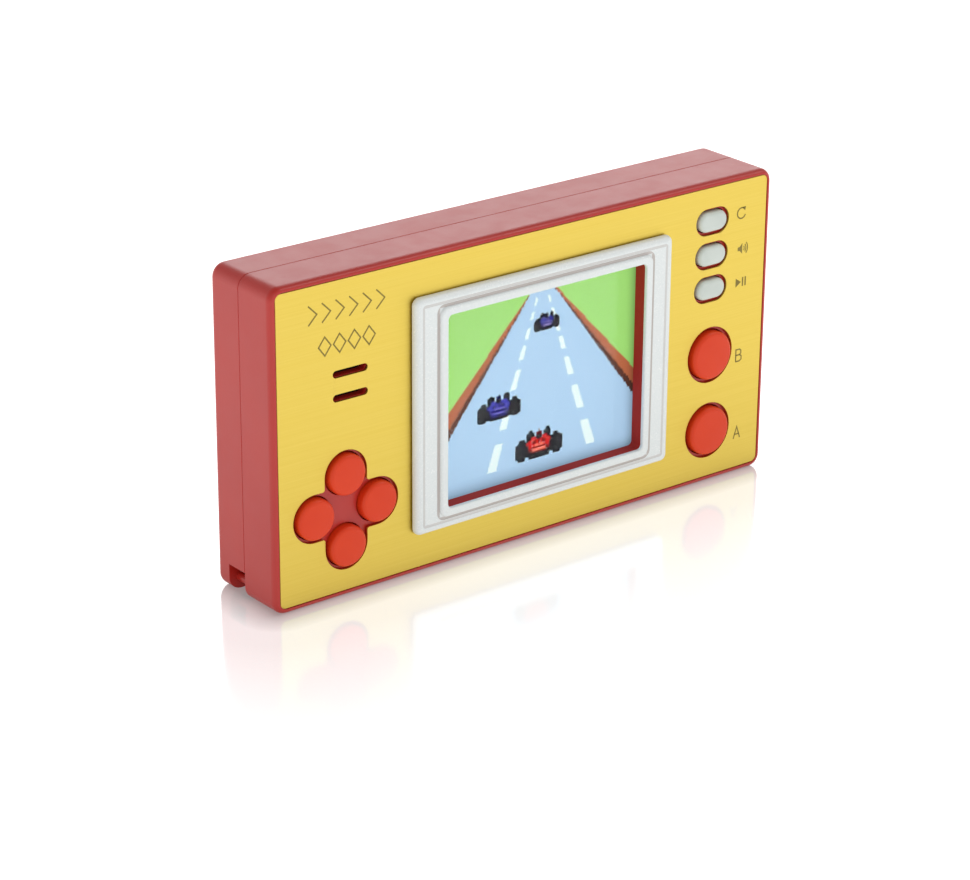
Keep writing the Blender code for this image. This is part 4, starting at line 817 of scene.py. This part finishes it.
carHalf = """
.......kk...d
......kkkk.dk
......kkkk.kk
..kkk.kkbbbkk
.kkkkkkbbbdbk
kkkkkkbbbddbk
kkokkkkbbbllb
kokkkkkbddddd
kkkkkkkddllll
kkokkkkkddddk
kkkkkkkkkkkkk
.kkkk..kkkkkk
""".split()
cars = [
    {"spot": (4.7, 39.05), "size": (5.6, 3.2), "tones": ("#2E2E9C", "#17174E", "#8C80D8")},
    {"spot": (-5.85, 25.35), "size": (9.6, 4.8), "tones": ("#3838B0", "#1A1A60", "#6A66E0")},
    {"spot": (3.25, 16.5), "size": (10.5, 5.3), "tones": ("#D42020", "#701010", "#F06858")},
]
road = {
    "top": 44.6,
    "left": (0.78, -0.778),
    "leftOut": (0.5, -0.975),
    "right": (6.56, 0.771),
    "rightOut": (7.0, 0.949),
    "leftLine": (2.75, -0.325),
    "rightLine": (4.7, 0.337),
    "dashes": [(43.7, 42.4), (41.3, 39.8), (38.5, 36.5), (35.4, 33.0), (31.4, 27.7), (25.6, 21.0), (18.4, 13.4)],
}


def paintPicture(x, z):
    # x and z in mm on the display: grass, a road that widens downwards between two kerbs
    # (edge = start + slope * drop), dashed lines, and three cars made of square picture points;
    # then painted shade darkens the picture towards its right and bottom edges
    colours = np.full((*x.shape, 3), 0.0)
    drop = road["top"] - z
    stepped = np.round(drop / 0.55) * 0.55

    def fill(mask, colour):
        colours[mask] = linear(colour)[:3]

    def edge(name, down):
        return road[name][0] + road[name][1] * down

    fill(np.ones(x.shape, bool), "#A2E078")
    fill((x > edge("leftOut", drop)) & (x < edge("rightOut", drop)), "#B96A48")
    kerb = 0.33 * (edge("left", stepped) - edge("leftOut", stepped))
    fill((x > edge("left", stepped) - kerb) & (x < edge("right", stepped) + kerb), "#5A3A30")
    fill((x > edge("left", stepped)) & (x < edge("right", stepped)), "#AFD2EF")
    dashed = np.zeros(x.shape, bool)
    for high, low in road["dashes"]:
        dashed |= (z < high) & (z > low)
    for name in ("leftLine", "rightLine"):
        fill((np.abs(x - edge(name, drop)) < 0.25 + 0.025 * drop) & dashed, "#E8FBFB")
    sprite = np.array([list(row + row[-2::-1]) for row in carHalf])
    for car in cars:
        wide, tall = car["size"]
        row = np.floor((car["spot"][1] + tall / 2 - z) / tall * sprite.shape[0]).astype(int)
        column = np.floor((x - car["spot"][0] + wide / 2) / wide * sprite.shape[1]).astype(int)
        inside = (row >= 0) & (row < sprite.shape[0]) & (column >= 0) & (column < sprite.shape[1])
        letters = sprite[row.clip(0, sprite.shape[0] - 1), column.clip(0, sprite.shape[1] - 1)]
        body, dark, light = car["tones"]
        for letter, tone in {"k": "#0A0A12", "o": "#34343A", "b": body, "d": dark, "l": light}.items():
            fill(inside & (letters == letter), tone)
    # painted shade: up to 55 % darker towards the right and bottom edges, where the well's walls shade the display
    paintedShadeNear = np.clip((x - 22.3) / 3.0, 0, 1) ** 2 + np.clip((13.6 - z) / 3.2, 0, 1) ** 2
    return colours * (1 - 0.55 * np.clip(paintedShadeNear, 0, 1))[..., None]


def makeDisplay():
    # a grid of square picture points on the front of the glass, closed by the sides and the back
    halfU, halfV = picture["half"]
    front, back, cell = picture["front"], picture["back"], picture["cell"]
    countU, countV = round(2 * halfU / cell), round(2 * halfV / cell)
    alongU = np.linspace(-halfU, halfU, countU + 1) + screen["spot"][0]
    alongV = np.linspace(-halfV, halfV, countV + 1) + screen["spot"][1]
    gridU, gridV = np.meshgrid(alongU, alongV)
    points = np.stack([gridU, gridV, np.full(gridU.shape, front)], axis=-1).reshape(-1, 3)
    index = np.arange(len(points)).reshape(gridU.shape)
    quads = np.stack([index[:-1, :-1], index[:-1, 1:], index[1:, 1:], index[1:, :-1]], axis=-1).reshape(-1, 4)
    edge = np.concatenate([index[0, :-1], index[:-1, -1], index[-1, :0:-1], index[:0:-1, 0]])
    behind = points[edge] + [0, 0, back - front]
    base = len(points)
    after = np.roll(np.arange(len(edge)), -1)
    sides = np.stack([edge, edge[after], base + after, base + np.arange(len(edge))], axis=-1)
    faces = quads.tolist() + sides.tolist() + [(base + np.arange(len(edge))).tolist()]
    mesh = joinedMesh("display", [(np.vstack([points, behind]), faces)])
    centres = np.empty(len(mesh.polygons) * 3)
    mesh.polygons.foreach_get("center", centres)
    centres = centres.reshape(-1, 3) / mm
    colours = paintPicture(centres[:, 0], centres[:, 2])
    colours[centres[:, 1] > frontY + front + 0.01] = 0.25
    layer = mesh.attributes.new("picture", "FLOAT_COLOR", "FACE")
    layer.data.foreach_set("color", np.column_stack([colours, np.ones(len(colours))]).ravel())
    return place("display_panel", mesh, finish["lcd_glass"], "root", ["lcd_glass"])


makeDisplay()
print("display made")


def makeCap(name, spec, edgeRadius, crown, material):
    # rows of (inset, depth): a crown that falls with the square of the way out, a rounded edge,
    # the side, the flange behind the panel and the foot over its dome
    u, v, halfU, halfV, front = spec
    least = min(halfU, halfV)
    way = np.linspace(0, 1, 10)
    inset = least + (edgeRadius - least) * way
    top = np.stack([inset, front + crown * way**2], axis=1)
    turn = np.linspace(0, math.pi / 2, 9)[1:]
    edge = np.stack([edgeRadius * (1 - np.sin(turn)), front + crown + edgeRadius * (1 - np.cos(turn))], axis=1)
    flange, flangeBack, foot = 2.6, 3.2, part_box(name)[1].y / mm - frontY
    below = [(0.0, flange), (-0.7, flange), (-0.7, flangeBack), (0.45 * least, flangeBack), (0.45 * least, foot)]
    pairs = np.vstack([top, edge, below])
    rows = insetRows(pairs, halfU, halfV, least, 0.0)
    parts = [skin(ringsOf(rows, (u, v), 12), capEnd=True)]
    return place(name.replace("button", "cap"), joinedMesh(name, parts), finish[material], name, [name], sharp=40)


for name, spec in {**directionCaps, **actionCaps}.items():
    makeCap(name, spec, 0.8, 0.14, "orange_caps")
for name, spec in functionCaps.items():
    makeCap(name, spec, 0.7, 0.08, "grey_caps")
print("caps made")


printed = {"width": 0.26, "front": 0.08, "back": 0.14}
glyphs = {
    "A": [[(0, 0), (0.5, 1), (1, 0)], [(0.2, 0.36), (0.8, 0.36)]],
    "B": [[(0, 0), (0, 1), (0.6, 1), (0.82, 0.87), (0.82, 0.66), (0.6, 0.53), (0, 0.53)],
          [(0.6, 0.53), (0.9, 0.4), (0.9, 0.13), (0.6, 0), (0, 0)]],
    "arrow": [[(0, 1), (0.75, 0.5), (0, 0)]],
    "diamond": [[(0.5, 1), (0, 0.5), (0.5, 0), (1, 0.5), (0.5, 1)]],
}


def row(names, centreU, base, size, pitch):
    # each glyph's strokes, scaled to the size and set at an even pitch about the centre
    parts = []
    start = centreU - pitch * (len(names) - 1) / 2 - size[0] / 2
    for number, name in enumerate(names):
        for path in glyphs[name]:
            points = np.array(path) * size + [start + number * pitch, base]
            parts.append(stroke(points, printed["width"], printed["front"], printed["back"]))
    return parts


def icons(u):
    # a circling arrow, a loudspeaker with three waves, a triangle with two bars
    front, back, width = printed["front"], printed["back"], printed["width"]
    turn = np.linspace(math.radians(55), math.radians(340), 25)
    arrow = np.stack([u - 0.4 + 1.0 * np.cos(turn), 50.7 + 1.0 * np.sin(turn)], axis=1)
    tip = arrow[0]
    head = np.array([(0.5, 0.35), (-0.45, 0.3), (0.3, -0.5)]) * 0.9 + tip
    parts = [stroke(arrow, width, front, back), plateOf(head, front, back)]
    cone = np.array([(-1.0, 0.35), (-0.55, 0.35), (0.1, 1.0), (0.1, -1.0), (-0.55, -0.35), (-1.0, -0.35)])
    parts.append(plateOf(cone + [u, 43.9], front, back))
    for radius in (0.55, 0.95, 1.35):
        wave = np.linspace(-0.75, 0.75, 9)
        path = np.stack([u + 0.05 + radius * np.cos(wave), 43.9 + 1.1 * radius * np.sin(wave)], axis=1)
        parts.append(stroke(path, 0.2, front, back))
    triangle = np.array([(-1.2, 0.85), (0.1, 0.0), (-1.2, -0.85)]) + [u, 37.5]
    parts.append(plateOf(triangle, front, back))
    for across in (0.5, 1.15):
        parts.append(stroke([(u + across, 36.65), (u + across, 38.35)], 0.32, front, back))
    return parts


def makePrint():
    marks = row(["arrow"] * 6, -39.4, 50.2, (2.3, 3.4), 2.75) + row(["diamond"] * 4, -39.7, 44.3, (2.5, 3.3), 3.0)
    marks += row("B", 48.6, 22.1, (1.5, 2.3), 1.0) + row("A", 48.8, 6.8, (1.6, 2.3), 1.0)
    marks += icons(48.3)
    return place("printed_marks", joinedMesh("printed_marks", marks), finish["print"], "root")


makePrint()
print("print made")


def makeDoor():
    # a flat leaf with a rounded edge and three grip grooves, and two hooks at its left edge
    half, back, front = (25.8, 16.5), case["depth"], case["depth"] - 1.1
    rows = softened(
        [(1.0, front), (0.0, front), (0.0, back), (1.0, back)], [0.12, 0.18], 5
    )
    grooveSpots = [(half[0] - 3.0 - 1.5 * n, middle[1]) for n in range(3)]
    parts = [skin(ringsOf(insetRows(rows, *half, 0.7, 0.2), middle))]
    grooveRows = softened([(0.42, 4.57, 0.42, back), (0.30, 4.45, 0.30, back), (0.16, 4.3, 0.16, back - 0.35), (0.05, 4.2, 0.05, back - 0.35)], [0.08, 0.1], 4)
    for spot in grooveSpots:
        parts.append(skin(ringsOf(grooveRows, spot), capEnd=True))
    outer = insetRows([(1.0, back)], *half, 0.7, 0.2)[0]
    parts.append(flatFace([roundedRect(*outer[:3], middle), *[roundedRect(*grooveRows[0][:3], spot) for spot in grooveSpots]], back))
    parts.append(flatFace([roundedRect(*outer[:3], middle)], front))
    tools = []
    for side in (-1, 1):
        v = middle[1] + side * 9.0
        tools.append(("UNION", boxMesh("neck", (-half[0], v - 2.5, 14.6), (-half[0] + 0.8, v + 2.5, front + 0.4))))
        tools.append(("UNION", boxMesh("hook", (-half[0] - 1.2, v - 2.5, 14.6), (-half[0] + 0.4, v + 2.5, 15.3))))
    return place("bay_door", joinedMesh("bay_door", parts), finish["red_abs"], "battery_door", ["battery_door"], tools)


def makeKnob():
    # a grip with three ribs across its top, each its own rounded stadium loft,
    # on a flange inside the wall
    low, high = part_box("power_switch_knob")
    rest = 30.5
    top, ribTop = case["halfWidth"] - 0.4, case["halfWidth"] - 0.1
    flangeOut, flangeIn = 53.1, 52.3

    def stadium(halfDepth, halfV, corner, u):
        flat = roundedRect(halfDepth, halfV, corner, (knob["depth"], rest), 8)
        return np.column_stack([np.full(len(flat), u), flat[:, 1], flat[:, 0]])

    sections = softened([(1.5, 4.7, 0.5, flangeIn), (1.5, 4.7, 0.5, flangeOut), (1.2, 2.0, 0.6, flangeOut), (1.2, 2.0, 0.6, top), (0.6, 1.4, 0.2, top)], [0.1, 0.05, 0.25], 5)
    rings = [stadium(*row) for row in sections]
    parts = [skin(rings, capStart=True, capEnd=True)]
    for number in (-1, 0, 1):
        v = rest + number * 1.1
        ribs = softened([(0.85, 0.25, 0.2, top - 0.3), (0.85, 0.25, 0.2, ribTop), (0.5, 0.1, 0.05, ribTop)], [0.12], 4)
        ribRings = []
        for halfDepth, halfV, corner, u in ribs:
            flat = roundedRect(halfDepth, halfV, corner, (knob["depth"], v), 6)
            ribRings.append(np.column_stack([np.full(len(flat), u), flat[:, 1], flat[:, 0]]))
        parts.append(skin(ribRings, capStart=True, capEnd=True))
    pinRows = [(0.5, 0.6, 0.5, 50.8), (0.5, 0.6, 0.5, flangeIn + 0.3)]
    parts.append(skin([stadium(*row) for row in pinRows], capStart=True, capEnd=True))
    return place("switch_knob", joinedMesh("switch_knob", parts), finish["black_plastic"], "power_switch_knob", ["power_switch_knob"])


def makeScrews():
    # a pan head, its cross recess and the shank, turned about the screw's own line
    for number, spot in enumerate(screwSpots, 1):
        back = case["depth"] - 0.5
        profile = softened([(0.0, back + 0.0), (1.2, back - 0.02), (1.9, back - 0.25), (1.9, back - 1.2), (1.0, back - 1.2), (1.0, 5.0), (0.3, 4.3)], [0.3, 0.3, 0.05, 0.05, 0.3], 4)
        rings = ringsOf([(max(r, 0.001), max(r, 0.001), max(r, 0.001), d) for r, d in profile], spot)
        mesh = joinedMesh("screw", [skin(rings, capStart=True, capEnd=True)])
        cross = []
        for wide, tall in ((0.27, 1.15), (1.15, 0.27)):
            rows = [(wide, tall, 0.05, back + 1.0), (wide, tall, 0.05, back - 0.2), (wide * 0.5, tall * 0.5, 0.02, back - 0.75)]
            cross.append(("DIFFERENCE", joinedMesh("cross", [skin(ringsOf(rows, spot, 3), capStart=True, capEnd=True)])))
        place(f"screw_{number}", mesh, finish["steel"], "root", [f"case_screw_{number}"], cross)


def makeCells():
    # turned about their own long axis: a can with a rolled shoulder and the raised nub at one end
    for number in (1, 2, 3):
        low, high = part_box(f"battery_cell_{number}")
        radius = (high.z - low.z) / 2 / mm
        centre = ((low.y + high.y) / 2 / mm - frontY, (low.z + high.z) / 2 / mm)
        side = -1 if number % 2 else 1
        ends = (high.x / mm, low.x / mm) if side < 0 else (low.x / mm, high.x / mm)
        far, tip = ends
        profile = softened(
            [(0.02, far), (3.4, far), (3.9, far + side * 0.25), (radius, far + side * 0.25), (radius, tip - side * 1.0),
             (1.9, tip - side * 1.0), (1.9, tip), (0.02, tip)],
            [0.2, 0.1, 0.5, 0.5, 0.15, 0.35], 5,
        )
        turn = np.linspace(0, 2 * math.pi, 64, endpoint=False)
        out, along = profile[:, :1], profile[:, 1:]
        rings = np.stack(
            [along + 0 * turn, centre[1] + out * np.sin(turn), centre[0] + out * np.cos(turn)], axis=-1
        )
        mesh = joinedMesh(f"cell_{number}", [skin(rings, capStart=True, capEnd=True)])
        node = f"battery_cell_{number}"
        place(f"cell_{number}", mesh, finish["cell_jacket"], "root", [node])


makeDoor()
makeKnob()
makeScrews()
makeCells()
print("door, knob, screws and cells made")


for part in frame["record"]["subparts"]:
    for holder in cadNodes[part["node"]].material_slots:
        holder.material = finish[part["material_slot"]]
print("CAD nodes finished")


def makeStage():
    # a wide pale sheet: flat, with a rise far behind that follows a quarter circle
    across = np.linspace(-2500, 2500, 9)
    turn = np.linspace(0, math.pi / 2, 13)
    along = np.concatenate([[-1800, 0, 1500], 1500 + 900 * np.sin(turn[1:])])
    height = np.concatenate([[0, 0, 0], 900 * (1 - np.cos(turn[1:]))])
    gridU, gridY = np.meshgrid(across, along)
    points = np.stack([gridU, gridY, np.broadcast_to(height[:, None] - 0.02, gridU.shape)], axis=-1).reshape(-1, 3) * mm
    index = np.arange(len(points)).reshape(gridU.shape)
    quads = np.stack([index[:-1, :-1], index[:-1, 1:], index[1:, 1:], index[1:, :-1]], axis=-1).reshape(-1, 4)
    mesh = bpy.data.meshes.new("floor")
    mesh.from_pydata(points.tolist(), [], quads.tolist())
    mesh.shade_smooth()
    floor = bpy.data.objects.new("floor", mesh)
    bpy.context.scene.collection.objects.link(floor)
    # Lit white acrylic with a polished face. The mirror image blurs and thins with the distance
    # from the case's footprint; the glow is painted lower near the footprint, a painted contact shadow.
    material, tree, shader, vector = startMaterial(
        "lit_white_acrylic", **{"IOR": 1.5, "Emission Color": (1.0, 1.0, 1.0, 1.0)}
    )
    tree.links.new(
        ramp(tree, noise(tree, vector, 60.0), [(0.3, "#C6C6C6"), (0.7, "#CACACA")]), shader.inputs["Base Color"]
    )
    shift = addNode(tree, "ShaderNodeVectorMath", {0: vector, 1: (0.0, -1.05, 0.0)}, operation="ADD")
    apart = addNode(tree, "ShaderNodeVectorMath", {0: shift.outputs[0]}, operation="ABSOLUTE")
    beyond = addNode(tree, "ShaderNodeVectorMath", {0: apart.outputs[0], 1: (54.0, 7.4, 100.0)}, operation="SUBTRACT")
    outside = addNode(tree, "ShaderNodeVectorMath", {0: beyond.outputs[0], 1: (0.0, 0.0, 0.0)}, operation="MAXIMUM")
    away = addNode(tree, "ShaderNodeVectorMath", {0: outside.outputs[0]}, operation="LENGTH").outputs["Value"]
    tree.links.new(spread(tree, away, 0.05, 0.25, 0.0, 60.0), shader.inputs["Roughness"])
    tree.links.new(spread(tree, away, 0.36, 0.0, 12.0, 62.0), shader.inputs["Metallic"])
    # painted contact shadow: the glow is 0.20 at the case's footprint and 0.62 at 7 mm away
    paintedShadeNear = spread(tree, away, 0.20, 0.62, 0.0, 7.0)
    far = spread(tree, away, 0.0, 0.22, 12.0, 62.0)
    glow = addNode(tree, "ShaderNodeMath", {0: paintedShadeNear, 1: far}, operation="ADD").outputs["Value"]
    tree.links.new(glow, shader.inputs["Emission Strength"])
    floor.data.materials.append(material)


def makeLight(name, spot, aim, size, power):
    data = bpy.data.lights.new(name, "AREA")
    data.shape, data.size, data.size_y, data.energy = "RECTANGLE", *size, power
    light = bpy.data.objects.new(name, data)
    light.location = spot
    light.rotation_euler = (Vector(aim) - Vector(spot)).to_track_quat("-Z", "Y").to_euler()
    bpy.context.scene.collection.objects.link(light)


def makeCamera():
    spot = Vector((-0.32328, -0.40106, 0.22665))
    azimuth, elevation, roll = (math.radians(angle) for angle in (-38.459, 22.235, 0.422))
    back = Vector((math.sin(azimuth) * math.cos(elevation), -math.cos(azimuth) * math.cos(elevation), math.sin(elevation)))
    right = Vector((math.cos(azimuth), math.sin(azimuth), 0.0))
    up = back.cross(right)
    tiltedRight = right * math.cos(roll) + up * math.sin(roll)
    tiltedUp = back.cross(tiltedRight)
    data = bpy.data.cameras.new("camera")
    data.lens, data.sensor_width, data.clip_start, data.clip_end = 116.79, 36.0, 0.01, 20.0
    camera = bpy.data.objects.new("camera", data)
    camera.matrix_world = Matrix.Translation(spot) @ Matrix((tiltedRight, tiltedUp, back)).transposed().to_4x4()
    bpy.context.scene.collection.objects.link(camera)
    bpy.context.scene.camera = camera


makeStage()
# The studio: radiance falls with height as low - fall * z, with one bright card low behind.
studio = {"low": 0.92, "fall": 0.60, "card": 1.65, "cardWay": (0.575, 0.727, 0.374), "cardEdge": (0.90, 0.975)}
world = bpy.data.worlds.new("studio")
world.use_nodes = True
sky = world.node_tree
way = addNode(sky, "ShaderNodeTexCoord").outputs["Generated"]
upward = addNode(sky, "ShaderNodeSeparateXYZ", {"Vector": way}).outputs["Z"]
fall = addNode(
    sky, "ShaderNodeMapRange",
    {"Value": upward, "From Max": 1.0, "To Min": studio["low"], "To Max": studio["low"] - studio["fall"]},
)
toward = addNode(sky, "ShaderNodeVectorMath", {0: way, 1: studio["cardWay"]}, operation="DOT_PRODUCT")
card = addNode(
    sky, "ShaderNodeMapRange",
    {"Value": toward.outputs["Value"], "From Min": studio["cardEdge"][0], "From Max": studio["cardEdge"][1],
     "To Max": studio["card"]}, interpolation_type="SMOOTHSTEP",
)
total = addNode(sky, "ShaderNodeMath", {0: fall.outputs["Result"], 1: card.outputs["Result"]}, operation="ADD")
sky.nodes["Background"].inputs["Color"].default_value = (1.0, 1.0, 1.0, 1.0)
sky.links.new(total.outputs["Value"], sky.nodes["Background"].inputs["Strength"])
bpy.context.scene.world = world
bpy.context.scene.view_settings.view_transform = "Standard"
makeLight("softbox_front", (-0.45, -0.75, 0.5), (0, 0, 0.03), (0.6, 0.5), 0.55)
makeLight("softbox_top", (0.52, -0.34, 0.68), (0, 0, 0.03), (0.3, 0.3), 1.0)
makeCamera()
print("stage, light and camera made")
